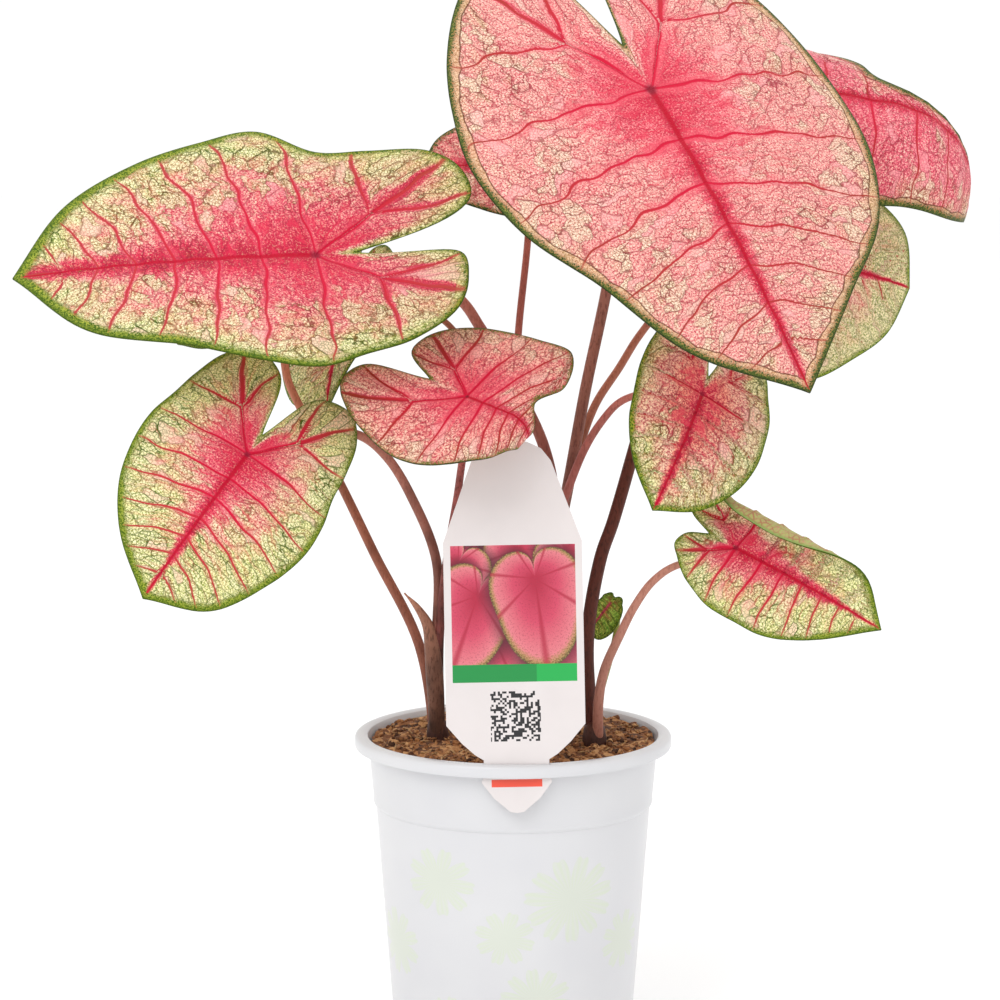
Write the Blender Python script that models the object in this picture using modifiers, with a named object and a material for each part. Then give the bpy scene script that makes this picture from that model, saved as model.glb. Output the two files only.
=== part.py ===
"""A caladium in its white nursery pot, with a plain plant tag in the pot's rim.

The pot stands on z = 0 with its axis on Z, and the tag faces -Y. Sizes in the tables below are in millimetres,
and MM turns them into Blender's metres.
"""

import math
from dataclasses import dataclass

import bmesh
import bpy
from mathutils import Matrix, Vector

MM = 0.001
FIT_GAP = 0.3
CURVE_ROOM = 0.2

# Pot: a thin moulded quart pot with a turned-down rim and one step below it
POT_HEIGHT = 126.0
RIM_RADIUS = 60.5
RIM_DEPTH = 4.8
LIP_WALL = 1.1
BODY_TOP_RADIUS = 55.4
STEP_HEIGHT = 100.0
STEP_RADIUS = 53.2
STEP_DROP = 0.8
FOOT_RADIUS = 45.0
WALL = 1.1
BASE_WALL = 1.6
RIM_FALL = 2.2
RIM_ROUND = 0.7
EDGE_ROUND = 0.4
LIP_ROUND = 0.6
SHOULDER = 1.5
FLOOR_ROUND = 1.2
STEP_LEDGE = 0.3
POT_SEGMENTS = 40
DRAIN_HOLES = 8
DRAIN_RADIUS = 4.0
DRAIN_CIRCLE = 33.0

# Soil: nearly flush with the rim, and slightly domed
SOIL_EDGE_HEIGHT = 122.6
SOIL_DOME = 1.8
SOIL_RELIEF = 0.7
SOIL_RINGS = 5
SOIL_SEGMENTS = 40
SOIL_FOOT = 2.0
SOIL_WAVES = ((0.31, 0.17), (-0.11, 0.23), (0.7, -0.5))

# Tubers: one under each clump of stalks
TUBER_RADIUS = 13.0
TUBER_FLATNESS = 0.7
TUBER_TOP = 96.0
CROWN_TOP = 133.0
HOLE_GAP = 0.4
HOLE_SPARE = 5.0
CROWN_SHOULDER = 8.0
CROWN_TAPER = 0.75

# Plant tag: one stamped sheet, its tongue caught under the rim
TAG_THICKNESS = 0.6
TAG_PLANE = 56.6
TAG_LEAN = math.radians(-6.0)
TAG_TILT = math.radians(-1.1)
TAG_CENTRE = 1.1
SLOT_WIDTH = 25.0
SLOT_DEPTH = 1.4
TAG_HEIGHT = 136.6
NECK_HEIGHT = 17.5
# Half widths at heights above the tongue's tip
TAG_RIGHT_EDGE = (
    (2.5, 0.4), (8.5, 5.5), (12.8, 11.2), (12.8, 12.0), (12.0, 13.4), (12.0, 19.6), (15.2, 21.6),
    (20.0, 26.0), (25.5, 32.5), (25.4, 99.5), (14.6, 129.0), (11.0, 133.6), (6.0, 136.0),
)

# Blades: all are 0.8 mm thick, and the three main ribs stand out below
BLADE_THICKNESS = 0.8
RIB_THICKNESS = 1.6
BEARINGS = (20, 40, 60, 80, 100, 120, 140, 155, 168)
USUAL_OUTLINE = (0.87, 0.71, 0.62, 0.57, 0.51, 0.53, 0.58, 0.60, 0.46)
SPOKES_PER_BEARING = 2
BASAL_RIB_BEARING = 148.0
RIB_SPREAD = 12.0
THICK_MIDDLE = 1 / 6
STALK_SIDES = 2
STALK_STEP = 16.0
END_SECTIONS = (0.45, 0.75, 1.0)
STALK_TAPER = 0.6
STALK_TURN = 7.0
FOOT_HEIGHTS = (TUBER_TOP + 6.0, CROWN_TOP - 10.0)


def usual(length, broadness=1.0):
    """Radii of one half of an ordinary heart-shaped blade of this length."""
    return tuple(round(length * broadness * part) for part in USUAL_OUTLINE)


@dataclass
class Blade:
    """One blade in millimetres and degrees. Its radii run from the stalk's end, at BEARINGS from the tip.

    The turn is the tip's compass heading from +X, its dip below the horizon, and the roll about the midrib.
    Left and right are as seen from above, looking to the tip. A curl, a fold or a bend is positive downwards.
    """

    junction: tuple
    turn: tuple
    tip: float
    sinus: float
    right: tuple
    left: tuple
    bend: float = 12.0
    bend_from: float = 0.0
    back: float = 10.0
    fold: tuple = (0.0, 0.0)
    curl: tuple = (8.0, 8.0)
    curl_from: float = 0.15
    wave: float = 0.0
    waves: int = 5
    phase: float = 0.0
    rings: int = 4


BLADES = {
    "leaf_01": Blade(
        (50, -30, 371), (-49, 47, -17), 131, 22,
        right=(112, 92, 88, 84, 78, 76, 78, 81, 68),
        left=(105, 97, 88, 79, 76, 77, 79, 81, 68),
        bend=14, fold=(2, -2), curl=(12, 7), wave=1.2, phase=0.6, rings=6,
    ),
    "leaf_02": Blade(
        (-73, -20, 310), (-163, 0, 42), 112, 15,
        right=(94, 78, 68, 65, 53, 57, 66, 68, 63),
        left=(95, 70, 63, 61, 55, 57, 61, 59, 54),
        bend=10, back=-30, fold=(-7, -4), curl=(6, 7), wave=1.0, phase=2.0, rings=6,
    ),
    "leaf_03": Blade(
        (-96, -60, 241), (-123, 34, 39), 70, 11,
        right=(58, 49, 42, 38, 36, 39, 46, 49, 41),
        left=(64, 52, 44, 38, 35, 38, 45, 49, 42),
        bend=21, back=9, fold=(2, -2), curl=(11, 10), wave=0.8, phase=1.0, rings=5,
    ),
    "leaf_04": Blade(
        (-17, -50, 261), (-35, 15, -35), 40, 17,
        right=(32, 33, 33, 35, 37, 39, 44, 47, 41),
        left=(26, 37, 42, 37, 35, 35, 35, 34, 31),
        bend=170, bend_from=20, back=-20, curl=(0, 10), rings=5,
    ),
    "leaf_05": Blade(
        (99, 45, 372), (0, 10, -36), 121, 15,
        right=(98, 72, 54, 46, 44, 46, 52, 55, 42),
        left=(46, 46, 49, 51, 50, 46, 45, 47, 36),
        bend=108, bend_from=48, back=15, curl=(47, 50), curl_from=0.1, rings=5,
    ),
    "leaf_06": Blade(
        (100, 50, 305), (4, 8, -69), 64, 9,
        right=(60, 54, 52, 49, 42, 38, 41, 42, 32),
        left=usual(64, 1.12),
        bend=34, fold=(-3, 8), curl=(6, 7),
    ),
    "leaf_07": Blade(
        (70, -25, 259), (-112, 40, 40), 53, 9,
        right=(43, 35, 29, 27, 27, 29, 34, 34, 26),
        left=(47, 40, 34, 30, 29, 29, 33, 34, 26),
        bend=25, fold=(-1, -5), curl=(9, 9), wave=0.6, rings=5,
    ),
    "leaf_08": Blade(
        (8, 60, 340), (-162, -1, 51), 45, 7, right=usual(45), left=usual(45), bend=10, curl=(9, 8),
    ),
    "leaf_09": Blade(
        (82, -35, 203), (-32, 21, -46), 64, 12,
        right=(49, 39, 30, 26, 23, 22, 22, 23, 20),
        left=(49, 38, 31, 27, 26, 26, 29, 32, 24),
        bend=8, back=0, curl=(-200, 11), curl_from=0.25, rings=7,
    ),
    "leaf_10": Blade(
        (37, 5, 175), (169, 52, 71), 15, 3,
        right=(9, 6, 5, 4, 4, 4, 4, 4, 3),
        left=(15, 12, 9, 7, 6, 5, 5, 5, 4),
        bend=10, back=5, fold=(0, -20), curl=(0, 0), rings=2,
    ),
    "leaf_11": Blade(
        (-62, 40, 294), (-126, 61, -2), 52, 7,
        right=usual(60), left=usual(34),
        bend=18, curl=(45, 8),
    ),
    "leaf_12": Blade(
        (-92, 25, 300), (-170, 30, 30), 46, 8, right=usual(46), left=usual(46), bend=15, back=8,
    ),
}


@dataclass
class Stalk:
    """A stalk's route in millimetres from the soil up, and its radii at the foot and below the blade."""

    foot: tuple
    route: tuple
    foot_radius: float
    end_radius: float


# A route ends below the junction of the blade of its name. A shoot with no blade ends where its route does.
STALKS = {
    "left": {
        "leaf_03": Stalk((-29, -6), ((-29, -8, 163), (-29, -12, 194), (-38, -18, 219), (-47, -24, 235),
                                     (-57, -30, 244), (-72, -38, 246), (-86, -46, 242)), 2.3, 1.4),
        "leaf_04": Stalk((-28, -5), ((-28, -9, 164), (-25, -16, 195), (-21, -26, 220),
                                     (-19, -36, 235)), 2.2, 1.2),
        "leaf_12": Stalk((-30, -4), ((-36, 4, 159), (-53, 10, 193), (-65, 16, 217), (-75, 19, 236),
                                     (-82, 21, 249), (-87, 23, 261)), 2.3, 1.4),
        "sheath": Stalk((-29, -6), ((-30, -8, 150), (-33, -10, 168), (-38, -12, 178),
                                     (-41, -13, 182)), 2.6, 0.4),
    },
    "middle": {
        "leaf_01": Stalk((5, 3), ((10, 0, 169), (20, -2, 218), (27, -4, 258), (34, -6, 292),
                                  (40, -10, 326)), 2.7, 1.9),
        "leaf_02": Stalk((7, 7), ((17, 14, 175), (16, 16, 213), (11, 15, 236), (-3, 12, 264), (-13, 8, 281),
                                  (-19, 6, 290), (-35, 4, 303)), 2.5, 1.9),
        "leaf_06": Stalk((8, 5), ((14, 14, 175), (20, 22, 212), (26, 26, 234), (32, 30, 249), (41, 36, 262),
                                  (49, 42, 274), (61, 54, 286), (80, 61, 295)), 2.1, 1.3),
        "leaf_07": Stalk((7, 3), ((12, -4, 178), (16, -6, 205), (21, -8, 222), (27, -10, 237), (33, -12, 247),
                                  (39, -14, 254), (45, -15, 257), (56, -18, 259)), 2.0, 1.2),
        "leaf_08": Stalk((4, 7), ((-1, 22, 173), (0, 34, 234), (2, 44, 274), (6, 54, 314)), 2.0, 1.2),
        "leaf_11": Stalk((5, 8), ((1, 20, 174), (0, 28, 212), (-9, 34, 250), (-23, 42, 276), (-35, 50, 284),
                                  (-48, 54, 288)), 1.8, 1.0),
    },
    "right": {
        "leaf_05": Stalk((30, -13), ((28, -8, 163), (33, 0, 193), (38, 4, 207), (47, 12, 237), (59, 24, 278),
                                     (74, 36, 327)), 2.8, 2.2),
        "leaf_09": Stalk((32, -15), ((32, -20, 142), (34, -22, 154), (40, -26, 169), (45, -26, 179),
                                     (52, -27, 189), (61, -27, 195)), 2.4, 1.2),
        "leaf_10": Stalk((30, -15), ((33, -9, 142), (38, 2, 158)), 1.8, 0.8),
    },
}
CROWNS = {"left": ((-29, -5), 4.4), "middle": ((6, 5.5), 5.6), "right": ((30.5, -14), 4.8)}


def clear_scene():
    for obj in list(bpy.data.objects):
        bpy.data.objects.remove(obj, do_unlink=True)


def new_collection(name, hidden=False):
    collection = bpy.data.collections.new(name)
    collection.hide_render = hidden
    bpy.context.scene.collection.children.link(collection)
    return collection


def material(name, colour, roughness, metallic=0.0):
    made = bpy.data.materials.new(name)
    made.use_nodes = True
    shader = made.node_tree.nodes["Principled BSDF"]
    shader.inputs["Base Color"].default_value = (*colour, 1.0)
    shader.inputs["Roughness"].default_value = roughness
    shader.inputs["Metallic"].default_value = metallic
    made.diffuse_color = (*colour, 1.0)
    return made


def add_mesh(name, mesh, collection, finish=None):
    obj = bpy.data.objects.new(name, mesh)
    collection.objects.link(obj)
    if finish:
        mesh.materials.clear()
        mesh.materials.append(finish)
    return obj


def add_cutter(name, bm):
    """Closes a bmesh into a hidden cutter object."""
    mesh = bpy.data.meshes.new(name)
    bm.to_mesh(mesh)
    bm.free()
    obj = add_mesh(name, mesh, bpy.data.collections["cutters"])
    obj.hide_render = True
    obj.display_type = "WIRE"
    return obj


def boolean(obj, other, operation):
    made = obj.modifiers.new(f"{operation.lower()} {other.name}", "BOOLEAN")
    made.operation = operation
    if isinstance(other, bpy.types.Collection):
        made.operand_type = "COLLECTION"
        made.collection = other
    else:
        made.object = other
    made.solver = "EXACT"
    return made


def evaluated_mesh(obj):
    """The object's mesh as its modifiers leave it, with the loose caps of a curve welded on."""
    bpy.context.view_layer.update()
    graph = bpy.context.evaluated_depsgraph_get()
    mesh = bpy.data.meshes.new_from_object(obj.evaluated_get(graph))
    bm = bmesh.new()
    bm.from_mesh(mesh)
    bmesh.ops.remove_doubles(bm, verts=bm.verts, dist=0.00001)
    bm.to_mesh(mesh)
    bm.free()
    return mesh


def turned(name, profile, segments, collection, finish):
    """A turned piece: its profile at +X, in millimetres, runs down the outer side and back up the inner one."""
    mesh = bpy.data.meshes.new(name)
    points = [(radius * MM, 0.0, height * MM) for radius, height in profile]
    closed = profile[0][0] > 0
    edges = [(k, k + 1) for k in range(len(points) - 1)]
    if closed:
        edges.append((len(points) - 1, 0))
    mesh.from_pydata(points, edges, [])
    obj = add_mesh(name, mesh, collection, finish)
    screw = obj.modifiers.new("turn", "SCREW")
    screw.axis = "Z"
    screw.steps = segments
    screw.render_steps = segments
    screw.use_merge_vertices = True
    screw.merge_threshold = 0.00001
    screw.use_smooth_shade = True
    return obj


def smooth_curve(points, steps):
    """A curve through all the points, as a Catmull-Rom spline with this many steps between each two."""
    points = [Vector(point) for point in points]
    ends = [2 * points[0] - points[1], *points, 2 * points[-1] - points[-2]]
    made = []
    for before, start, end, after in zip(ends, ends[1:], ends[2:], ends[3:]):
        gaps = [max((b - a).length, 1e-6) ** 0.5 for a, b in ((before, start), (start, end), (end, after))]
        leave = (start - before) / gaps[0] - (end - before) / (gaps[0] + gaps[1]) + (end - start) / gaps[1]
        arrive = (end - start) / gaps[1] - (after - start) / (gaps[1] + gaps[2]) + (after - end) / gaps[2]
        for k in range(steps):
            t = k / steps
            made.append(
                start * (2 * t**3 - 3 * t**2 + 1)
                + leave * gaps[1] * (t**3 - 2 * t**2 + t)
                + end * (3 * t**2 - 2 * t**3)
                + arrive * gaps[1] * (t**3 - t**2)
            )
    return [*made, points[-1]]


def arc(length, angle, reach):
    """Forward, down and angle of a point on a strip that bends evenly, by this many degrees at its reach."""
    turn = math.radians(angle) * length / reach
    if abs(turn) < 1e-6:
        return length, 0.0, 0.0
    radius = length / turn
    return radius * math.sin(turn), radius * (1 - math.cos(turn)), turn


def blade_axes(turn):
    """The blade's own right, its direction to the tip, and the normal of its upper face."""
    heading, dip, roll = (math.radians(angle) for angle in turn)
    tipward = Vector((math.cos(heading) * math.cos(dip), math.sin(heading) * math.cos(dip), -math.sin(dip)))
    level = Vector((math.sin(heading), -math.cos(heading), 0.0))
    upward = level.cross(tipward)
    right = level * math.cos(roll) + upward * math.sin(roll)
    return right, tipward, right.cross(tipward)


def outline(blade):
    """The blade's flat outline in millimetres: tip, right half, sinus and left half, in that order."""
    halves = []
    for sign, radii in ((1, blade.right), (-1, blade.left)):
        polar = [(0, blade.tip), *zip(BEARINGS, radii), (180, blade.sinus)]
        points = [
            (sign * radius * math.sin(math.radians(bearing)), radius * math.cos(math.radians(bearing)))
            for bearing, radius in polar
        ]
        halves.append(smooth_curve(points, SPOKES_PER_BEARING))
    right, left = halves
    return right + left[-2:0:-1]


def blade_point(blade, across, along):
    """A point of the flat blade, in millimetres, taken to its place on the bent one."""
    sign = 1 if across >= 0 else -1
    half = 1 if across >= 0 else 0
    width = max(blade.right[3:6] if half else blade.left[3:6]) + 1.0
    start = blade.curl_from * width
    flat = min(abs(across), start)
    out, drop, _ = arc(abs(across) - flat, blade.curl[half], width - start)
    fold = math.radians(blade.fold[half])
    side = (flat + out) * math.cos(fold)
    height = -drop * math.cos(fold) - (flat + out) * math.sin(fold)
    bearing = math.atan2(across, along)
    reach = math.hypot(across, along) / blade.tip
    height += blade.wave * min(reach, 1.0) ** 2 * math.sin(blade.waves * bearing + blade.phase)
    if along >= 0:
        flat = min(along, blade.bend_from)
        out, down, angle = arc(along - flat, blade.bend, blade.tip - blade.bend_from)
        forward = flat + out
    else:
        lobe = max(*blade.right[6:8], *blade.left[6:8])
        out, down, angle = arc(-along, blade.back, lobe)
        forward = -out
        angle = -angle
    forward += height * math.sin(angle)
    upward = height * math.cos(angle) - down
    right_axis, tip_axis, normal = blade_axes(blade.turn)
    return Vector(blade.junction) + right_axis * (sign * side) + tip_axis * forward + normal * upward


def rib_weight(bearing, ring):
    """1 on a main rib near the stalk, falling to the plain blade's share at the margin and between the ribs."""
    plain = BLADE_THICKNESS / RIB_THICKNESS
    nearest = min(abs(bearing), abs(abs(bearing) - BASAL_RIB_BEARING))
    on_rib = max(0.0, 1.0 - nearest / RIB_SPREAD)
    return plain + (1.0 - plain) * max(on_rib * (1.0 - ring), 1.0 - ring / THICK_MIDDLE, 0.0)


def add_blade(name, blade, collection, finish):
    """A disc of spokes and rings, whose points are laid on the bent blade, thickened downwards."""
    rim = outline(blade)
    spokes = len(rim)
    bm = bmesh.new()
    first = bmesh.ops.create_circle(bm, cap_ends=True, cap_tris=True, segments=spokes, radius=1 / blade.rings)
    bmesh.ops.recalc_face_normals(bm, faces=bm.faces)
    outer = [edge for edge in bm.edges if edge.is_boundary]
    for ring in range(1, blade.rings):
        pulled = bmesh.ops.extrude_edge_only(bm, edges=outer)["geom"]
        points = [item for item in pulled if isinstance(item, bmesh.types.BMVert)]
        bmesh.ops.scale(bm, verts=points, vec=Vector((1, 1, 1)) * (ring + 1) / ring)
        outer = [item for item in pulled if isinstance(item, bmesh.types.BMEdge) and item.is_boundary]
    bmesh.ops.recalc_face_normals(bm, faces=bm.faces)
    bm.faces.ensure_lookup_table()
    if bm.faces[0].normal.z < 0:
        bmesh.ops.reverse_faces(bm, faces=bm.faces)
    weights = []
    for point in bm.verts:
        ring = point.co.length
        # The circle runs anticlockwise from above, and the outline clockwise from the tip
        spoke = round(-math.atan2(point.co.y, point.co.x) / math.tau * spokes) % spokes
        across, along = rim[spoke] * ring
        weights.append(rib_weight(math.degrees(math.atan2(across, along)), ring))
        point.co = blade_point(blade, across, along) * MM
    bmesh.ops.triangulate(bm, faces=bm.faces)
    mesh = bpy.data.meshes.new(name)
    bm.to_mesh(mesh)
    bm.free()
    obj = add_mesh(name, mesh, collection, finish)
    group = obj.vertex_groups.new(name="thickness")
    for index, weight in enumerate(weights):
        group.add([index], weight, "REPLACE")
    solid = obj.modifiers.new("thickness", "SOLIDIFY")
    solid.thickness = RIB_THICKNESS * MM
    solid.offset = -1.0
    solid.vertex_group = group.name
    mesh.shade_smooth()
    return obj


def stalk_points(name, stalk):
    """The stalk's centre line in millimetres, from inside its crown to just under its blade."""
    foot = Vector((*stalk.foot, 0.0))
    points = [foot + Vector((0, 0, height)) for height in FOOT_HEIGHTS]
    points += [Vector(point) for point in stalk.route]
    if name in BLADES:
        blade = BLADES[name]
        normal = blade_axes(blade.turn)[2]
        end = Vector(blade.junction) - normal * (RIB_THICKNESS + FIT_GAP + CURVE_ROOM)
        points += [end - normal * STALK_TURN, end]
    return points


def add_tube(name, points, radii, collection):
    """A mesh tube with closed ends through these points, in millimetres, with its radius easing along it."""
    smooth = smooth_curve(points, 6)
    lengths = [0.0]
    for start, end in zip(smooth, smooth[1:]):
        lengths.append(lengths[-1] + (end - start).length)
    # Sections stand closer together over the last few millimetres, where the stalk turns into its blade
    body = lengths[-1] - STALK_STEP
    count = max(1, round(body / STALK_STEP))
    wanted_lengths = [body * k / count for k in range(count + 1)]
    wanted_lengths += [body + STALK_STEP * share for share in END_SECTIONS]
    kept = []
    for wanted in wanted_lengths:
        index = next(i for i, length in enumerate(lengths) if length >= wanted - 1e-6)
        kept.append((smooth[index], wanted / lengths[-1]))
    curve = bpy.data.curves.new(name, "CURVE")
    curve.dimensions = "3D"
    curve.bevel_depth = MM
    curve.bevel_resolution = STALK_SIDES
    curve.use_fill_caps = True
    spline = curve.splines.new("POLY")
    spline.points.add(len(kept) - 1)
    foot_radius, end_radius = radii
    for target, (point, share) in zip(spline.points, kept):
        target.co = (*(point * MM), 1.0)
        target.radius = foot_radius + (end_radius - foot_radius) * share**STALK_TAPER
    guide = bpy.data.objects.new(name, curve)
    collection.objects.link(guide)
    mesh = evaluated_mesh(guide)
    mesh.transform(guide.matrix_world)
    bpy.data.objects.remove(guide, do_unlink=True)
    return add_mesh(name, mesh, collection)


def add_clump(side, collection, finish):
    """The stalks of one tuber, joined with the crown that they grow from."""
    (x, y), radius = CROWNS[side]
    parts = new_collection(f"{side} clump")
    crown = [(x, y, TUBER_TOP + FIT_GAP), (x, y, CROWN_TOP - CROWN_SHOULDER), (x, y, CROWN_TOP)]
    body = add_tube(f"stalks_{side}", crown, (radius, radius * CROWN_TAPER), collection)
    for name, stalk in STALKS[side].items():
        add_tube(f"stalk {name}", stalk_points(name, stalk), (stalk.foot_radius, stalk.end_radius), parts)
    boolean(body, parts, "UNION")
    mesh = evaluated_mesh(body)
    body.modifiers.clear()
    body.data = mesh
    for part in list(parts.objects):
        bpy.data.objects.remove(part, do_unlink=True)
    bpy.data.collections.remove(parts)
    mesh.materials.clear()
    mesh.materials.append(finish)
    mesh.shade_smooth()
    return body


def inner_wall(height):
    """The pot's inner radius at this height."""
    if height > STEP_HEIGHT:
        share = (height - STEP_HEIGHT) / (POT_HEIGHT - RIM_DEPTH - STEP_HEIGHT)
        return STEP_RADIUS - WALL + (BODY_TOP_RADIUS - STEP_RADIUS) * share
    share = height / STEP_HEIGHT
    return FOOT_RADIUS - WALL + (STEP_RADIUS - STEP_DROP - FOOT_RADIUS) * share


def add_pot(collection, finish):
    under_rim = POT_HEIGHT - RIM_DEPTH
    flange = POT_HEIGHT - LIP_WALL
    profile = [
        (RIM_RADIUS - RIM_FALL, POT_HEIGHT),
        (RIM_RADIUS - RIM_ROUND, POT_HEIGHT - EDGE_ROUND),
        (RIM_RADIUS, POT_HEIGHT - SHOULDER),
        (RIM_RADIUS, under_rim + RIM_ROUND),
        (RIM_RADIUS - STEP_LEDGE, under_rim),
        (RIM_RADIUS - LIP_WALL, under_rim),
        (RIM_RADIUS - LIP_WALL, flange - EDGE_ROUND),
        (RIM_RADIUS - LIP_WALL - LIP_ROUND, flange),
        (BODY_TOP_RADIUS + 0.5, flange),
        (BODY_TOP_RADIUS, flange - 0.8),
        (STEP_RADIUS + 0.1, STEP_HEIGHT + 1.2),
        (STEP_RADIUS + 0.3, STEP_HEIGHT + 0.5),
        (STEP_RADIUS, STEP_HEIGHT - 0.6),
        (STEP_RADIUS - STEP_DROP, STEP_HEIGHT - 1.4),
        (FOOT_RADIUS, 1.5),
        (FOOT_RADIUS - 0.5, 0.4),
        (FOOT_RADIUS - 1.5, 0.0),
        (DRAIN_CIRCLE + DRAIN_RADIUS + 2.0, 0.0),
        (DRAIN_CIRCLE - DRAIN_RADIUS - 2.0, 0.0),
        (0.0, 0.0),
    ]
    inside = [
        (0.0, BASE_WALL),
        (inner_wall(BASE_WALL) - FLOOR_ROUND, BASE_WALL),
        (inner_wall(BASE_WALL + FLOOR_ROUND), BASE_WALL + FLOOR_ROUND),
        (inner_wall(STEP_HEIGHT - 1.4), STEP_HEIGHT - 1.4),
        (inner_wall(STEP_HEIGHT + 0.5), STEP_HEIGHT + 0.5),
        (inner_wall(under_rim), under_rim),
        (BODY_TOP_RADIUS + 0.2, POT_HEIGHT - 0.6),
        (BODY_TOP_RADIUS + 1.2, POT_HEIGHT),
    ]
    pot = turned("pot", profile + inside, POT_SEGMENTS, collection, finish)
    holes = bmesh.new()
    for k in range(DRAIN_HOLES):
        angle = math.tau * (k + 0.5) / DRAIN_HOLES
        place = Matrix.Translation(
            (DRAIN_CIRCLE * MM * math.cos(angle), DRAIN_CIRCLE * MM * math.sin(angle), BASE_WALL * MM / 2)
        )
        bmesh.ops.create_cone(
            holes, cap_ends=True, segments=16, radius1=DRAIN_RADIUS * MM, radius2=DRAIN_RADIUS * MM,
            depth=3 * BASE_WALL * MM, matrix=place,
        )
    boolean(pot, add_cutter("drain holes", holes), "DIFFERENCE")
    slot = bmesh.new()
    size = Matrix.Diagonal((SLOT_WIDTH * MM, SLOT_DEPTH * MM, 3 * LIP_WALL * MM, 1.0))
    place = Matrix.Translation((TAG_CENTRE * MM, -TAG_PLANE * MM, (POT_HEIGHT - LIP_WALL / 2) * MM))
    bmesh.ops.create_cube(slot, size=1.0, matrix=place @ size)
    boolean(pot, add_cutter("tag slot", slot), "DIFFERENCE")
    return pot


def add_soil(collection, finish):
    """Peat that fills the pot, with a hole for each clump and a room for the tuber below it."""
    low = BASE_WALL + FIT_GAP
    edge = inner_wall(SOIL_EDGE_HEIGHT) - FIT_GAP
    profile = []
    for ring in range(SOIL_RINGS + 1):
        share = ring / SOIL_RINGS
        profile.append((edge * share, SOIL_EDGE_HEIGHT + SOIL_DOME * (1.0 - share**2)))
    profile += [
        (inner_wall(STEP_HEIGHT) - FIT_GAP - STEP_LEDGE, STEP_HEIGHT),
        (inner_wall(low + 1.4) - FIT_GAP - CURVE_ROOM, low + 1.4),
        (inner_wall(low) - SOIL_FOOT, low),
        (0.0, low),
    ]
    soil = turned("soil", profile, SOIL_SEGMENTS, collection, finish)
    mesh = evaluated_mesh(soil)
    soil.modifiers.clear()
    soil.data = mesh
    for point in mesh.vertices:
        x, y, z = point.co / MM
        if z > SOIL_EDGE_HEIGHT - 0.1 and math.hypot(x, y) < edge - 1.0:
            long, cross, short = (along_x * x + along_y * y for along_x, along_y in SOIL_WAVES)
            lumps = math.sin(long) * math.cos(cross) + 0.5 * math.sin(short)
            point.co.z += SOIL_RELIEF * lumps * MM
    for side, ((x, y), radius) in CROWNS.items():
        hole = bmesh.new()
        tall = CROWN_TOP - TUBER_TOP + 2 * HOLE_SPARE
        middle = TUBER_TOP - HOLE_SPARE + tall / 2
        wide = radius + HOLE_GAP
        bmesh.ops.create_cone(
            hole, cap_ends=True, segments=20, radius1=wide * MM, radius2=wide * MM, depth=tall * MM,
            matrix=Matrix.Translation((x * MM, y * MM, middle * MM)),
        )
        boolean(soil, add_cutter(f"{side} stalk hole", hole), "DIFFERENCE")
        room = bmesh.new()
        add_tuber_shape(room, side, HOLE_GAP)
        boolean(soil, add_cutter(f"{side} tuber room", room), "DIFFERENCE")
    return soil


def add_tuber_shape(bm, side, gap):
    """A flattened ball under its clump, grown by the gap."""
    (x, y), _ = CROWNS[side]
    radius = TUBER_RADIUS + gap
    tall = TUBER_RADIUS * TUBER_FLATNESS + gap
    centre = TUBER_TOP - TUBER_RADIUS * TUBER_FLATNESS
    place = Matrix.Translation((x * MM, y * MM, centre * MM))
    bmesh.ops.create_uvsphere(
        bm, u_segments=16, v_segments=8, radius=MM, matrix=place @ Matrix.Diagonal((radius, radius, tall, 1.0))
    )


def add_tuber(side, collection, finish):
    bm = bmesh.new()
    add_tuber_shape(bm, side, 0.0)
    mesh = bpy.data.meshes.new(f"tuber_{side}")
    bm.to_mesh(mesh)
    bm.free()
    mesh.shade_smooth()
    return add_mesh(f"tuber_{side}", mesh, collection, finish)


def add_tag(collection, finish):
    """A flat tag with a rounded top, sloping shoulders and a neck, whose tongue tapers below the rim."""
    left_edge = [(-x, z) for x, z in reversed(TAG_RIGHT_EDGE)]
    points = [(0.0, 0.0), *TAG_RIGHT_EDGE, (0.0, TAG_HEIGHT), *left_edge]
    curve = bpy.data.curves.new("tag", "CURVE")
    curve.dimensions = "2D"
    curve.fill_mode = "BOTH"
    curve.extrude = TAG_THICKNESS * MM / 2
    spline = curve.splines.new("POLY")
    spline.points.add(len(points) - 1)
    for target, (x, z) in zip(spline.points, points):
        target.co = (x * MM, z * MM, 0.0, 1.0)
    spline.use_cyclic_u = True
    guide = bpy.data.objects.new("tag outline", curve)
    collection.objects.link(guide)
    mesh = evaluated_mesh(guide)
    bpy.data.objects.remove(guide, do_unlink=True)
    # The neck's middle goes to the slot, and the sheet leans back and to one side about it
    neck = Matrix.Translation((0.0, -NECK_HEIGHT * MM, 0.0))
    upright = Matrix.Rotation(math.radians(90), 4, "X")
    turn = Matrix.Rotation(TAG_TILT, 4, "Y") @ Matrix.Rotation(TAG_LEAN, 4, "X")
    slot = Matrix.Translation((TAG_CENTRE * MM, -TAG_PLANE * MM, (POT_HEIGHT - LIP_WALL / 2) * MM))
    tag = add_mesh("tag", mesh, collection, finish)
    tag.matrix_world = slot @ turn @ upright @ neck
    return tag


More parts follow.
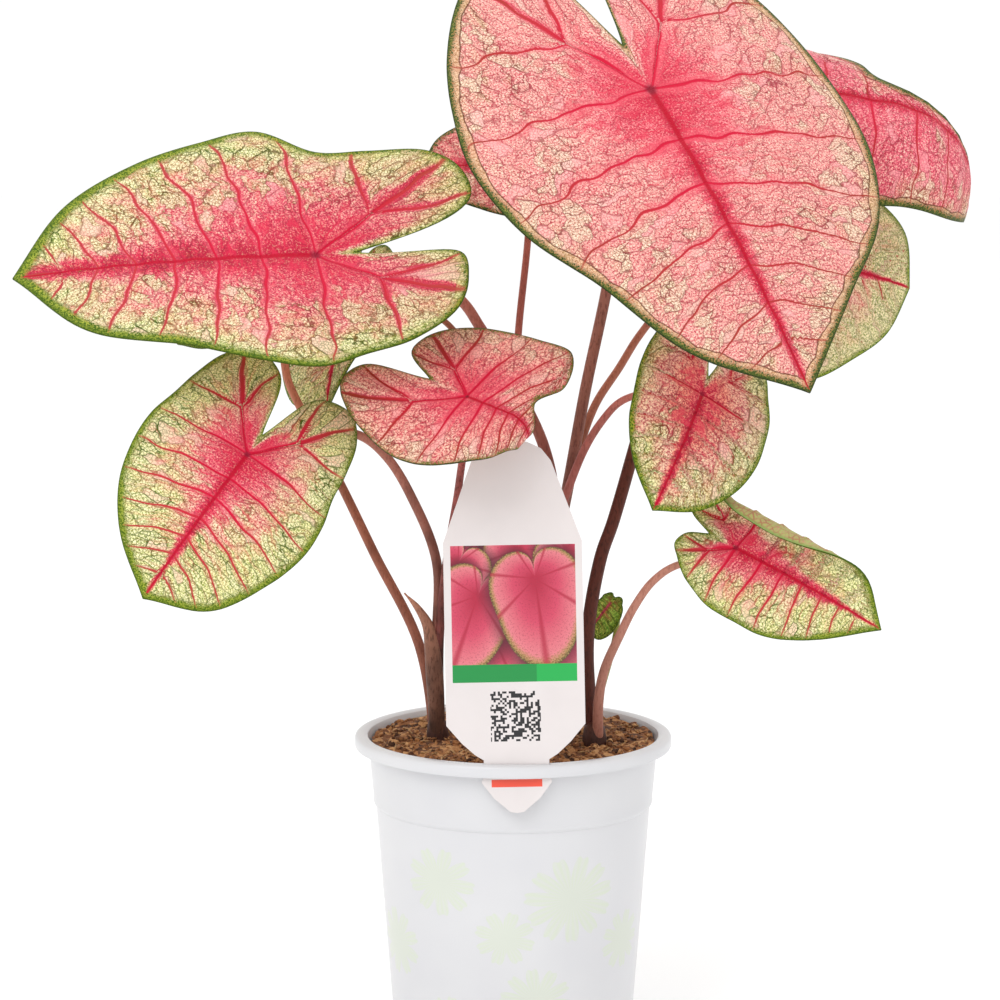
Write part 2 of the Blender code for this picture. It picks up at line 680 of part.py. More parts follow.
def main():
    clear_scene()
    caladium = new_collection("caladium")
    new_collection("cutters", hidden=True)
    white_plastic = material("white polypropylene", (0.82, 0.82, 0.83), 0.28)
    tag_plastic = material("white styrene sheet", (0.86, 0.82, 0.81), 0.4)
    peat = material("peat", (0.07, 0.035, 0.02), 0.95)
    tuber = material("tuber skin", (0.16, 0.09, 0.05), 0.85)
    stalk = material("stalk skin", (0.3, 0.08, 0.06), 0.5)
    pink = material("pink blade", (0.75, 0.16, 0.18), 0.5)
    cream = material("lime and pink blade", (0.72, 0.66, 0.34), 0.5)
    add_pot(caladium, white_plastic)
    add_soil(caladium, peat)
    for side in CROWNS:
        add_tuber(side, caladium, tuber)
        add_clump(side, caladium, stalk)
    for name, blade in BLADES.items():
        add_blade(name, blade, caladium, pink if name in ("leaf_01", "leaf_04", "leaf_05") else cream)
    add_tag(caladium, tag_plastic)


main()
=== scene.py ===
import math
import random
from dataclasses import dataclass, replace
from functools import partial
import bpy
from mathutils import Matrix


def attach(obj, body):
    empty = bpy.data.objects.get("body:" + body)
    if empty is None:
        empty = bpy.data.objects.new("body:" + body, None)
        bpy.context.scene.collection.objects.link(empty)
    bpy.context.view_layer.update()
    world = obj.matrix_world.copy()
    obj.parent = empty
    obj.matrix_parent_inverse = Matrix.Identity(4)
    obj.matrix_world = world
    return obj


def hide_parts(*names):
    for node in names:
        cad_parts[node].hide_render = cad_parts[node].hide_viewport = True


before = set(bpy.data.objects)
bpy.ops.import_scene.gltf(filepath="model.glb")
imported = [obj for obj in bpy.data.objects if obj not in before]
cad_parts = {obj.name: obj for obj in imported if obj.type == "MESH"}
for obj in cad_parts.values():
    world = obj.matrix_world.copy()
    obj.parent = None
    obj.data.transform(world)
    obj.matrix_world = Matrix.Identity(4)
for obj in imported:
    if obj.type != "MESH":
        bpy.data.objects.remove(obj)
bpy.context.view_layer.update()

from types import SimpleNamespace

import bpy
import numpy as np
from mathutils import Matrix, Vector, noise

# The caladium's looks. Sizes are in millimetres as in the part's source, and MM turns them into metres.
MM = 0.001


# Camera: its place was found from the rings of the pot's rim, step and wall
CAMERA_PLACE = (-0.005, -1.300, 0.4022)
CAMERA_DIP = 8.17
LENS = 124.8
FILM_WIDTH = 36.0
NEAREST = 0.05


def add_camera():
    bpy.ops.object.camera_add(location=CAMERA_PLACE, rotation=(math.radians(90.0 - CAMERA_DIP), 0.0, 0.0))
    camera = bpy.context.object
    camera.name = "camera"
    camera.data.lens = LENS
    camera.data.sensor_width = FILM_WIDTH
    camera.data.clip_start = NEAREST
    bpy.context.scene.camera = camera


# Pot
POT_HEIGHT = 126.0
RIM_RADIUS = 60.5
RIM_DEPTH = 4.8
LIP_WALL = 1.1
BODY_TOP_RADIUS = 55.4
STEP_HEIGHT = 100.0
STEP_RADIUS = 53.2
STEP_DROP = 0.8
FOOT_RADIUS = 45.0
WALL = 1.1
BASE_WALL = 1.6
DRAIN_HOLES = 8
DRAIN_RADIUS = 4.0
DRAIN_CIRCLE = 33.0
HUB_RADIUS = 20.0
# How far in from the rim's edge and how far down from its top each point of its rounded shoulder lies
RIM_ROUNDING = ((0.0, 1.5), (0.25, 0.8), (0.7, 0.4), (1.4, 0.1), (2.2, 0.0))
POT_SEGMENTS = 192
DRAIN_SIDES = 32
SMOOTH_BELOW = math.radians(40)

# Soil
SOIL_EDGE_HEIGHT = 122.6
SOIL_DOME = 1.8
SOIL_RELIEF = 0.7
SOIL_SEED = 7
BITS_A_WEIGHT = 75

# Crowns and tubers
TUBER_TOP = 96.0
CROWN_TOP = 133.0

# Plant tag
TAG_THICKNESS = 0.6
TAG_PLANE = 56.6
TAG_LEAN = math.radians(-6.0)
TAG_TILT = math.radians(-1.1)
TAG_CENTRE = 1.1
SLOT_WIDTH = 25.0
SLOT_DEPTH = 1.4
# In metres, as Blender takes it
SLOT_PLACE = (TAG_CENTRE * MM, -TAG_PLANE * MM, (POT_HEIGHT - LIP_WALL / 2) * MM)
TAG_HEIGHT = 136.6
NECK_HEIGHT = 17.5
TAG_RIGHT_EDGE = (
    (2.5, 0.4), (8.5, 5.5), (12.8, 11.2), (12.8, 12.0), (12.0, 13.4), (12.0, 19.6), (15.2, 21.6),
    (20.0, 26.0), (25.5, 32.5), (25.4, 99.5), (14.6, 129.0), (11.0, 133.6), (6.0, 136.0),
)

# Blades
BEARINGS = (20, 40, 60, 80, 100, 120, 140, 155, 168)
USUAL_OUTLINE = (0.87, 0.71, 0.62, 0.57, 0.51, 0.53, 0.58, 0.60, 0.46)
BLADE_THICKNESS = 0.6
RIB_THICKNESS = 1.6
# From the junction to the tip of the largest blade, which the relief and the widths of the ribs were set on
BIG_BLADE = 131.0


def usual(length, broadness=1.0):
    """Radii of one half of an ordinary heart-shaped blade of this length."""
    return tuple(round(length * broadness * part) for part in USUAL_OUTLINE)


@dataclass
class Blade:
    """One blade in millimetres and degrees, as in the part's source."""

    junction: tuple
    turn: tuple
    tip: float
    sinus: float
    right: tuple
    left: tuple
    bend: float = 12.0
    bend_from: float = 0.0
    back: float = 10.0
    fold: tuple = (0.0, 0.0)
    curl: tuple = (8.0, 8.0)
    curl_from: float = 0.15
    wave: float = 0.0
    waves: int = 5
    phase: float = 0.0
    spokes: int = 9
    rings: int = 36


BLADES = {
    "leaf_01": Blade(
        (50, -30, 371), (-49, 47, -17), BIG_BLADE, 22, right=(112, 92, 88, 84, 78, 76, 78, 81, 68),
        left=(105, 97, 88, 79, 76, 77, 79, 81, 68), bend=14, fold=(2, -2), curl=(12, 7), wave=1.2, phase=0.6,
        spokes=14, rings=64,
    ),
    "leaf_02": Blade(
        (-73, -20, 310), (-163, 0, 42), 112, 15, right=(94, 78, 68, 65, 53, 57, 66, 68, 63),
        left=(95, 70, 63, 61, 55, 57, 61, 59, 54), bend=10, back=-30, fold=(-7, -4), curl=(6, 7), wave=1.0,
        phase=2.0, spokes=13, rings=56,
    ),
    "leaf_03": Blade(
        (-96, -60, 241), (-123, 34, 39), 70, 11, right=(58, 49, 42, 38, 36, 39, 46, 49, 41),
        left=(64, 52, 44, 38, 35, 38, 45, 49, 42), bend=21, back=9, fold=(2, -2), curl=(11, 10), wave=0.8,
        phase=1.0, spokes=11, rings=44,
    ),
    "leaf_04": Blade(
        (-17, -50, 261), (-35, 15, -35), 40, 17, right=(32, 33, 33, 35, 37, 39, 44, 47, 41),
        left=(26, 37, 42, 37, 35, 35, 35, 34, 31), bend=170, bend_from=20, back=-20, curl=(0, 10), spokes=10,
        rings=40,
    ),
    "leaf_05": Blade(
        (99, 45, 372), (0, 10, -36), 121, 15, right=(98, 72, 54, 46, 44, 46, 52, 55, 42),
        left=(46, 46, 49, 51, 50, 46, 45, 47, 36), bend=108, bend_from=48, back=15, curl=(47, 50),
        curl_from=0.1, rings=44,
    ),
    "leaf_06": Blade(
        (100, 50, 305), (4, 8, -69), 64, 9, right=(60, 54, 52, 49, 42, 38, 41, 42, 32), left=usual(64, 1.12),
        bend=34, fold=(-3, 8), curl=(6, 7),
    ),
    "leaf_07": Blade(
        (70, -25, 259), (-112, 40, 40), 53, 9, right=(43, 35, 29, 27, 27, 29, 34, 34, 26),
        left=(47, 40, 34, 30, 29, 29, 33, 34, 26), bend=25, fold=(-1, -5), curl=(9, 9), wave=0.6, rings=38,
    ),
    "leaf_08": Blade(
        (8, 60, 340), (-162, -1, 51), 45, 7, right=usual(45), left=usual(45), bend=10, curl=(9, 8), spokes=7,
        rings=28,
    ),
    "leaf_09": Blade(
        (82, -35, 203), (-32, 21, -46), 64, 12, right=(49, 39, 30, 26, 23, 22, 22, 23, 20),
        left=(49, 38, 31, 27, 26, 26, 29, 32, 24), bend=8, back=0, curl=(-200, 11), curl_from=0.25, rings=44,
    ),
    "leaf_10": Blade(
        (37, 5, 175), (169, 52, 71), 15, 3, right=(9, 6, 5, 4, 4, 4, 4, 4, 3),
        left=(15, 12, 9, 7, 6, 5, 5, 5, 4), bend=10, back=5, fold=(0, -20), curl=(0, 0), spokes=5, rings=18,
    ),
    "leaf_11": Blade(
        (-62, 40, 294), (-126, 61, -2), 52, 7, right=usual(60), left=usual(34), bend=18, curl=(45, 8),
        spokes=7, rings=30,
    ),
    "leaf_12": Blade(
        (-92, 25, 300), (-170, 30, 30), 46, 8, right=usual(46), left=usual(46), bend=15, back=8, spokes=7,
        rings=28,
    ),
}


@dataclass
class Stalk:
    """A stalk's route in millimetres from the soil up, and its radii at the foot and below the blade."""

    foot: tuple
    route: tuple
    foot_radius: float
    end_radius: float


STALKS = {
    "left": {
        "leaf_03": Stalk(
            (-29, -6),
            (
                (-29, -8, 163), (-29, -12, 194), (-38, -18, 219), (-47, -24, 235), (-57, -30, 244),
                (-72, -38, 246), (-86, -46, 242),
            ),
            2.3, 1.4,
        ),
        "leaf_04": Stalk(
            (-28, -5), ((-28, -9, 164), (-25, -16, 195), (-21, -26, 220), (-19, -36, 235)), 2.2, 1.2,
        ),
        "leaf_12": Stalk(
            (-30, -4),
            ((-36, 4, 159), (-53, 10, 193), (-65, 16, 217), (-75, 19, 236), (-82, 21, 249), (-87, 23, 261)),
            2.3, 1.4,
        ),
        "sheath": Stalk(
            (-29, -6), ((-30, -8, 150), (-32, -10, 168), (-36, -12, 176), (-41, -13, 182)), 2.6, 0.4,
        ),
    },
    "middle": {
        "leaf_01": Stalk(
            (5, 3), ((10, 0, 169), (20, -2, 218), (27, -4, 258), (34, -6, 292), (40, -10, 326)), 2.7, 1.9,
        ),
        "leaf_02": Stalk(
            (7, 7),
            (
                (17, 14, 175), (16, 16, 213), (11, 15, 236), (-3, 12, 264), (-13, 8, 281), (-19, 6, 290),
                (-35, 4, 303),
            ),
            2.5, 1.9,
        ),
        "leaf_06": Stalk(
            (8, 5),
            (
                (14, 14, 175), (20, 22, 212), (26, 26, 234), (32, 30, 249), (41, 36, 262), (49, 42, 274),
                (61, 54, 286), (80, 61, 295),
            ),
            2.1, 1.3,
        ),
        "leaf_07": Stalk(
            (7, 3),
            (
                (12, -4, 178), (16, -6, 205), (21, -8, 222), (27, -10, 237), (33, -12, 247), (39, -14, 254),
                (45, -15, 257), (56, -18, 259),
            ),
            2.0, 1.2,
        ),
        "leaf_08": Stalk((4, 7), ((-1, 22, 173), (0, 34, 234), (2, 44, 274), (6, 54, 314)), 2.0, 1.2),
        "leaf_11": Stalk(
            (5, 8),
            ((1, 20, 174), (0, 28, 212), (-9, 34, 250), (-23, 42, 276), (-35, 50, 284), (-48, 54, 288)), 1.8,
            1.0,
        ),
    },
    "right": {
        "leaf_05": Stalk(
            (30, -13),
            ((28, -8, 163), (33, 0, 193), (38, 4, 207), (47, 12, 237), (59, 24, 278), (74, 36, 327)), 2.8,
            2.2,
        ),
        "leaf_09": Stalk(
            (32, -15),
            ((32, -20, 142), (34, -22, 154), (40, -26, 169), (45, -26, 179), (52, -27, 189), (61, -27, 195)),
            2.4, 1.2,
        ),
        "leaf_10": Stalk((30, -15), ((33, -9, 142), (38, 2, 158)), 1.8, 0.8),
    },
}
CROWNS = {"left": ((-29, -5), 4.4), "middle": ((6, 5.5), 5.6), "right": ((30.5, -14), 4.8)}


def smooth_curve(points, steps):
    """A curve through all the points, as a Catmull-Rom spline with this many steps between each two."""
    points = [Vector(point) for point in points]
    ends = [2 * points[0] - points[1], *points, 2 * points[-1] - points[-2]]
    made = []
    for before, start, end, after in zip(ends, ends[1:], ends[2:], ends[3:]):
        gaps = [max((b - a).length, 1e-6) ** 0.5 for a, b in ((before, start), (start, end), (end, after))]
        leave = (start - before) / gaps[0] - (end - before) / (gaps[0] + gaps[1]) + (end - start) / gaps[1]
        arrive = (end - start) / gaps[1] - (after - start) / (gaps[1] + gaps[2]) + (after - end) / gaps[2]
        for k in range(steps):
            t = k / steps
            made.append(
                start * (2 * t**3 - 3 * t**2 + 1)
                + leave * gaps[1] * (t**3 - 2 * t**2 + t)
                + end * (3 * t**2 - 2 * t**3)
                + arrive * gaps[1] * (t**3 - t**2)
            )
    return [*made, points[-1]]


def arc(length, angle, reach):
    """Where a point lies of a strip that bends evenly, by this angle at its reach: forward, down, angle."""
    turn = math.radians(angle) * length / reach
    if abs(turn) < 1e-6:
        return length, 0.0, 0.0
    radius = length / turn
    return radius * math.sin(turn), radius * (1 - math.cos(turn)), turn


def blade_axes(turn):
    """The blade's own right, its direction to the tip, and the normal of its upper face."""
    heading, dip, roll = (math.radians(angle) for angle in turn)
    tipward = Vector((math.cos(heading) * math.cos(dip), math.sin(heading) * math.cos(dip), -math.sin(dip)))
    level = Vector((math.sin(heading), -math.cos(heading), 0.0))
    upward = level.cross(tipward)
    right = level * math.cos(roll) + upward * math.sin(roll)
    return right, tipward, right.cross(tipward)


def outline(blade):
    """The blade's flat outline in millimetres: tip, right half, sinus and left half, in that order."""
    halves = []
    for sign, radii in ((1, blade.right), (-1, blade.left)):
        polar = [(0, blade.tip), *zip(BEARINGS, radii), (180, blade.sinus)]
        points = [
            (sign * radius * math.sin(math.radians(bearing)), radius * math.cos(math.radians(bearing)))
            for bearing, radius in polar
        ]
        halves.append(smooth_curve(points, blade.spokes))
    right, left = halves
    return right + left[-2:0:-1]


def blade_point(blade, across, along):
    """A point of the flat blade, in millimetres, taken to its place on the bent one."""
    sign = 1 if across >= 0 else -1
    half = 1 if across >= 0 else 0
    width = max(blade.right[3:6] if half else blade.left[3:6]) + 1.0
    start = blade.curl_from * width
    flat = min(abs(across), start)
    out, drop, _ = arc(abs(across) - flat, blade.curl[half], width - start)
    fold = math.radians(blade.fold[half])
    side = (flat + out) * math.cos(fold)
    height = -drop * math.cos(fold) - (flat + out) * math.sin(fold)
    bearing = math.atan2(across, along)
    reach = math.hypot(across, along) / blade.tip
    height += blade.wave * min(reach, 1.0) ** 2 * math.sin(blade.waves * bearing + blade.phase)
    if along >= 0:
        flat = min(along, blade.bend_from)
        out, down, angle = arc(along - flat, blade.bend, blade.tip - blade.bend_from)
        forward = flat + out
    else:
        lobe = max(*blade.right[6:8], *blade.left[6:8])
        out, down, angle = arc(-along, blade.back, lobe)
        forward = -out
        angle = -angle
    forward += height * math.sin(angle)
    upward = height * math.cos(angle) - down
    right_axis, tip_axis, normal = blade_axes(blade.turn)
    return Vector(blade.junction) + right_axis * (sign * side) + tip_axis * forward + normal * upward


# Side veins of a half: shares of the midrib where they leave it, and the bearings where they end.
# Their ranks say how strongly each is drawn: the basal rib, its branches, and the side veins.
USUAL_STARTS = (0.84, 0.72, 0.60, 0.47, 0.33, 0.18, 0.0)
USUAL_ENDS = (8, 14, 22, 32, 45, 62, 86)
# Bearings of the outer branch's end, of the lobe and of the inner branch's end
OUTER_BEARING = 116
LOBE_BEARING = 148
INNER_BEARING = 164
COLLECTIVE_SHARE = 0.05
BASAL = 1.0
BRANCH = 0.5
SIDE = 0.0
FAR = 400.0
FAR_STEPS = 24
LAST_SPACING = 24.0
# How far the corners of a face are drawn to its middle, so that a face beside a rib lies on one side of it
PULL = 0.02


def polar(radius, bearing):
    """Across and along of the place at this radius and bearing from the tip, in degrees."""
    return radius * math.sin(math.radians(bearing)), radius * math.cos(math.radians(bearing))


def radius_at(blade, half, bearing):
    """The blade's radius at any bearing from the tip, in degrees."""
    radii = blade.right if half == "right" else blade.left
    return float(np.interp(bearing, [0, *BEARINGS, 180], [blade.tip, *radii, blade.sinus]))


def side_veins(blade, half):
    """The ranks and routes of a half's side veins in flat millimetres, from the tip round to the sinus."""
    made = []
    for share, bearing in zip(USUAL_STARTS, USUAL_ENDS):
        start = share * blade.tip
        end = polar(radius_at(blade, half, bearing) * (1.0 - COLLECTIVE_SHARE), bearing)
        middle = (end[0] * 0.55, start + (end[1] - start) * 0.42)
        made.append((SIDE, [(0.0, start), middle, end]))
    lobe = radius_at(blade, half, LOBE_BEARING)
    knee = (0.26 * lobe, -0.36 * lobe)
    outer_end = polar(radius_at(blade, half, OUTER_BEARING) * 0.93, OUTER_BEARING)
    inner_end = polar(radius_at(blade, half, INNER_BEARING) * 0.88, INNER_BEARING)
    made.append((BRANCH, [(0.0, 0.0), knee, outer_end]))
    made.append((BASAL, [(0.0, 0.0), knee, (0.40 * lobe, -0.62 * lobe), (0.50 * lobe, -0.80 * lobe)]))
    made.append((BRANCH, [(0.0, 0.0), knee, inner_end]))
    return made


def distance_to(points, path):
    """Distance in millimetres from each point to a path."""
    best = np.full(len(points), 1e9)
    for start, end in zip(path, path[1:]):
        start = np.array(start, float)
        run = np.array(end, float) - start
        share = np.clip(((points - start) @ run) / max(run @ run, 1e-9), 0.0, 1.0)
        best = np.minimum(best, np.linalg.norm(points - start - share[:, None] * run, axis=1))
    return best


def inside(points, corners):
    """Which points lie inside a polygon."""
    found = np.zeros(len(points), bool)
    x, y = points[:, 0], points[:, 1]
    for (ax, ay), (bx, by) in zip(corners, corners[1:] + corners[:1]):
        if ay != by:
            found ^= ((ay > y) != (by > y)) & (x < (bx - ax) * (y - ay) / (by - ay) + ax)
    return found


def drawn_on(path, reach=60.0):
    """A vein's path carried straight on past the margin."""
    (ax, ay), (bx, by) = path[-2:]
    run = math.hypot(bx - ax, by - ay)
    return [*path, (bx + (bx - ax) * reach / run, by + (by - ay) * reach / run)]


def tip_side(path):
    """The outline of everything on the tip's side of a vein, out to a far circle."""
    last = math.atan2(*path[-1])
    turns = [last * (1.0 - k / FAR_STEPS) for k in range(FAR_STEPS + 1)]
    circle = [(FAR * math.sin(turn), FAR * math.cos(turn)) for turn in turns]
    return [(0.0, 0.0), *path, *circle, (-1.0, FAR), (-1.0, 0.0)]


def neighbours(sector, paths, ranks, tip):
    """The two paths that a sector lies between, and their ranks. The last sector has only one path."""
    if sector == 0:
        return [(0.0, paths[0][0][1]), (0.0, tip + FAR)], paths[0], SIDE, ranks[0]
    before = paths[sector - 1]
    if sector == len(paths):
        return before, None, ranks[-1], ranks[-1]
    after = paths[sector]
    shared = 0
    while shared < min(len(before), len(after)) and before[shared] == after[shared]:
        shared += 1
    own = max(shared - 1, 0)
    return before[own:], after[own:], ranks[sector - 1], ranks[sector]


def vein_field(points, veins, tip):
    """For points of one half, given with across positive: the count of veins passed from the tip plus the
    share of the way to the next one, the two veins' distances added up, and the rank of what is near."""
    ranks = [rank for rank, _ in veins]
    paths = [drawn_on(path) for _, path in veins]
    passed = sum(~inside(points, tip_side(path)) for path in paths)
    field = np.zeros((len(points), 3))
    for sector in range(len(paths) + 1):
        here = passed == sector
        if not here.any():
            continue
        before, after, before_rank, after_rank = neighbours(sector, paths, ranks, tip)
        to_before = distance_to(points[here], before)
        if after:
            to_after = distance_to(points[here], after)
        else:
            to_after = np.maximum(LAST_SPACING - to_before, LAST_SPACING / 2)
            to_before = np.minimum(to_before, LAST_SPACING / 2)
        total = to_before + to_after + 1e-6
        share = to_before / total
        rank = before_rank * (1.0 - share) + after_rank * share
        field[here] = np.stack([sector + share, total, rank], axis=1)
    return field


def whole_field(blade, points, sides):
    """The vein field at points of both halves. Sides holds each point's half: 0 or more for the right one."""
    found = np.zeros((len(points), 3))
    for half, chosen in (("right", sides >= 0), ("left", sides < 0)):
        own = points[chosen].copy()
        own[:, 0] = np.abs(own[:, 0])
        found[chosen] = vein_field(own, side_veins(blade, half), blade.tip)
    return found


# Meshes


def start_piece():
    if bpy.context.mode != "OBJECT":
        bpy.ops.object.mode_set(mode="OBJECT")
    bpy.ops.object.select_all(action="DESELECT")


def open_mesh(name):
    """Names the new piece and opens its mesh with everything selected."""
    piece = bpy.context.object
    piece.name = name
    bpy.ops.object.mode_set(mode="EDIT")
    bpy.ops.mesh.select_all(action="SELECT")
    return piece


def close_mesh():
    """Turns all faces outwards and closes the mesh."""
    bpy.ops.mesh.select_all(action="SELECT")
    bpy.ops.mesh.normals_make_consistent(inside=False)
    bpy.ops.object.mode_set(mode="OBJECT")


def select_only(piece):
    start_piece()
    piece.select_set(True)
    bpy.context.view_layer.objects.active = piece


def apply_modifiers(piece):
    select_only(piece)
    for made in list(piece.modifiers):
        bpy.ops.object.modifier_apply(modifier=made.name)


def place_piece(piece, slot, *nodes):
    """The piece rides on the one body and stands for these CAD nodes. The slot is not used."""
    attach(piece, "root")
    if nodes:
        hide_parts(*nodes)


def add_disc(name, spokes, rings):
    """A flat disc of this many spokes, pulled out ring by ring to a radius of 1."""
    start_piece()
    bpy.ops.mesh.primitive_circle_add(vertices=spokes, radius=1 / rings, fill_type="TRIFAN")
    disc = open_mesh(name)
    bpy.ops.mesh.region_to_loop()
    for ring in range(1, rings):
        bpy.ops.mesh.extrude_edges_move()
        grown = (ring + 1) / ring
        bpy.ops.transform.resize(value=(grown, grown, grown), center_override=(0, 0, 0))
    close_mesh()
    return disc


# Blades

# Widths and depths of a blade's relief in millimetres, on the largest blade where they grow with it
RIB_WIDTH = 1.8
RIB_DEPTH = 0.55
VEIN_WIDTH = 1.6
VEIN_DEPTH = 0.30
BASAL_DEPTH = 0.25
PUFF_HEIGHT = 0.75
PUFF_WIDTH = 5.0
FADE_WIDTH = 9.0
VEIN_RIB_WIDTH = 1.4


def bell(distance, width):
    """1 at a vein, falling to 0 at either side of it."""
    return np.exp(-((distance / width) ** 2))


def edge_slants(rim):
    """How squarely the way out from the junction meets the edge, for each point of the rim."""
    slants = []
    for spoke, point in enumerate(rim):
        edge = (Vector(rim[(spoke + 1) % len(rim)]) - Vector(rim[spoke - 1])).normalized()
        outward = Vector(point).normalized()
        slants.append(abs(outward.x * edge.y - outward.y * edge.x))
    return slants


def lay_leaf(mesh, blade, rim):
    """Lays a disc on the bent blade. Returns each point's place there in metres, and across, along and the
    distance from the margin on the flat blade in millimetres."""
    spokes = len(rim)
    slants = edge_slants(rim)
    laid = np.zeros((len(mesh.vertices), 3))
    flat = np.zeros((len(mesh.vertices), 3))
    for point in mesh.vertices:
        ring = point.co.length
        # The circle runs anticlockwise from above, and the outline clockwise from the tip
        spoke = round(-math.atan2(point.co.y, point.co.x) / math.tau * spokes) % spokes
        across, along = rim[spoke] * ring
        margin = (1.0 - ring) * Vector(rim[spoke]).length * max(slants[spoke], 0.35)
        flat[point.index] = (across, along, margin)
        laid[point.index] = blade_point(blade, across, along) * MM
    mesh.vertices.foreach_set("co", laid.ravel())
    mesh.update()
    return laid, flat


def store_field(mesh, blade, flat):
    """Stores the vein field at each corner of each face, and returns the rank of what is near each point."""
    corners = np.zeros(len(mesh.loops), np.int32)
    mesh.loops.foreach_get("vertex_index", corners)
    faces = np.repeat(np.arange(len(mesh.polygons)), [len(face.vertices) for face in mesh.polygons])
    sums = np.zeros((len(mesh.polygons), 2))
    np.add.at(sums, faces, flat[corners, :2])
    middles = sums / np.bincount(faces)[:, None]
    pulled = flat[corners, :2] * (1.0 - PULL) + middles[faces] * PULL
    field = whole_field(blade, pulled, middles[faces, 0])
    stored = mesh.attributes.new("veins", "FLOAT_VECTOR", "CORNER")
    stored.data.foreach_set("vector", field.astype(np.float32).ravel())
    rank = np.zeros(len(flat))
    rank[corners] = field[:, 2]
    return rank


def thicken(leaf, weights):
    """Thickens a blade downwards, by the thickness of a rib times each point's weight."""
    group = leaf.vertex_groups.new(name="thickness")
    for index, weight in enumerate(weights):
        group.add([index], float(weight), "REPLACE")
    solid = leaf.modifiers.new("thickness", "SOLIDIFY")
    solid.thickness = RIB_THICKNESS * MM
    solid.offset = -1.0
    solid.vertex_group = group.name
    solid.material_offset = 1
    apply_modifiers(leaf)
    leaf.vertex_groups.clear()


def add_leaf(name, blade, upper, under):
    """A blade: a disc laid on the bent form, sunk at the veins, puffed between them and thickened below."""
    rim = outline(blade)
    leaf = add_disc(name, len(rim), blade.rings)
    mesh = leaf.data
    mesh.materials.append(upper)
    mesh.materials.append(under)
    laid, flat = lay_leaf(mesh, blade, rim)

    across, along, margin = flat.T
    field = whole_field(blade, flat[:, :2], across)
    share = field[:, 0] % 1.0
    vein_gap = np.minimum(share, 1.0 - share) * field[:, 1]
    from_junction = np.hypot(across, along)
    reach = from_junction / (from_junction + margin + 1e-6)
    on_midrib = bell(np.hypot(across, np.minimum(along, 0.0)), RIB_WIDTH)
    size = blade.tip / BIG_BLADE
    fade = np.clip(margin / (FADE_WIDTH * size), 0.0, 1.0)
    sunk = RIB_DEPTH * on_midrib * (1.0 - 0.7 * reach)
    sunk = np.maximum(sunk, (VEIN_DEPTH + BASAL_DEPTH * field[:, 2]) * bell(vein_gap, VEIN_WIDTH) * fade)
    puffed = PUFF_HEIGHT * size * (1.0 - bell(vein_gap, PUFF_WIDTH * size))
    puffed = puffed * fade * np.clip(reach * 3.0, 0.0, 1.0)
    normals = np.zeros(len(flat) * 3)
    mesh.vertex_normals.foreach_get("vector", normals)
    laid += normals.reshape(-1, 3) * ((puffed - sunk) * MM)[:, None]
    mesh.vertices.foreach_set("co", laid.ravel())

    stored = mesh.attributes.new("flat", "FLOAT_VECTOR", "POINT")
    stored.data.foreach_set("vector", flat.astype(np.float32).ravel())
    rank = store_field(mesh, blade, flat)
    plain = BLADE_THICKNESS / RIB_THICKNESS
    on_rib = np.maximum(on_midrib, (0.25 + 0.75 * rank) * bell(vein_gap, VEIN_RIB_WIDTH))
    at_junction = np.clip(1.0 - 6.0 * reach, 0.0, 1.0)
    thicken(leaf, plain + (1.0 - plain) * np.maximum(on_rib * (1.0 - reach) ** 2, at_junction))
    leaf.data.shade_smooth()
    return leaf


# Materials

# The setting that the second word of a node's kind gives, and where a colour mix takes and gives its values
MODES = {
    "Math": "operation",
    "VectorMath": "operation",
    "MapRange": "interpolation_type",
    "VectorRotate": "rotation_type",
}
MIX_PLACES = (0, 6, 7)
MIX_OUTPUT = 2


def linear(colour):
    """A linear colour from sRGB hex."""
    made = []
    for k in (1, 3, 5):
        value = int(colour[k:k + 2], 16) / 255.0
        made.append(value / 12.92 if value <= 0.04045 else ((value + 0.055) / 1.055) ** 2.4)
    return (*made, 1.0)


def connect(made, inputs):
    """Links a node's inputs to the sockets that are given, and sets the others. A text is an sRGB colour."""
    for place, value in inputs.items():
        if isinstance(value, bpy.types.NodeSocket):
            made.id_data.links.new(value, made.inputs[place])
        else:
            made.inputs[place].default_value = linear(value) if isinstance(value, str) else value


def set_stops(colours, stops):
    """Gives a colour ramp these places and sRGB colours."""
    while len(colours.elements) < len(stops):
        colours.elements.new(0.5)
    for element, (place, shade) in zip(colours.elements, stops):
        element.position = place
        element.color = linear(shade)


def add_node(tree, kind, *values, output=0, stops=(), **words):
    """Adds a node and returns one of its outputs. Values go to its inputs in order, and words with a capital
    to the inputs of that name. Other words are settings, and stops are a colour ramp's places and colours."""
    kind, _, mode = kind.partition(" ")
    made = tree.nodes.new(f"ShaderNode{kind}")
    places = range(len(values))
    if kind == "Mix":
        made.data_type = "RGBA"
        places, output = MIX_PLACES, MIX_OUTPUT
    settings = {name: value for name, value in words.items() if name[0].islower()}
    if mode:
        settings[MODES[kind]] = mode
    for name, value in settings.items():
        setattr(made, name, value)
    if stops:
        set_stops(made.color_ramp, stops)
    connect(made, dict(zip(places, values)))
    connect(made, {name: value for name, value in words.items() if name not in settings})
    return made.outputs[output]


def new_material(name):
    """A material, a function that adds nodes to it, and its shader."""
    made = bpy.data.materials.new(name)
    made.use_nodes = True
    return made, partial(add_node, made.node_tree), made.node_tree.nodes["Principled BSDF"]


# Looks of the blades


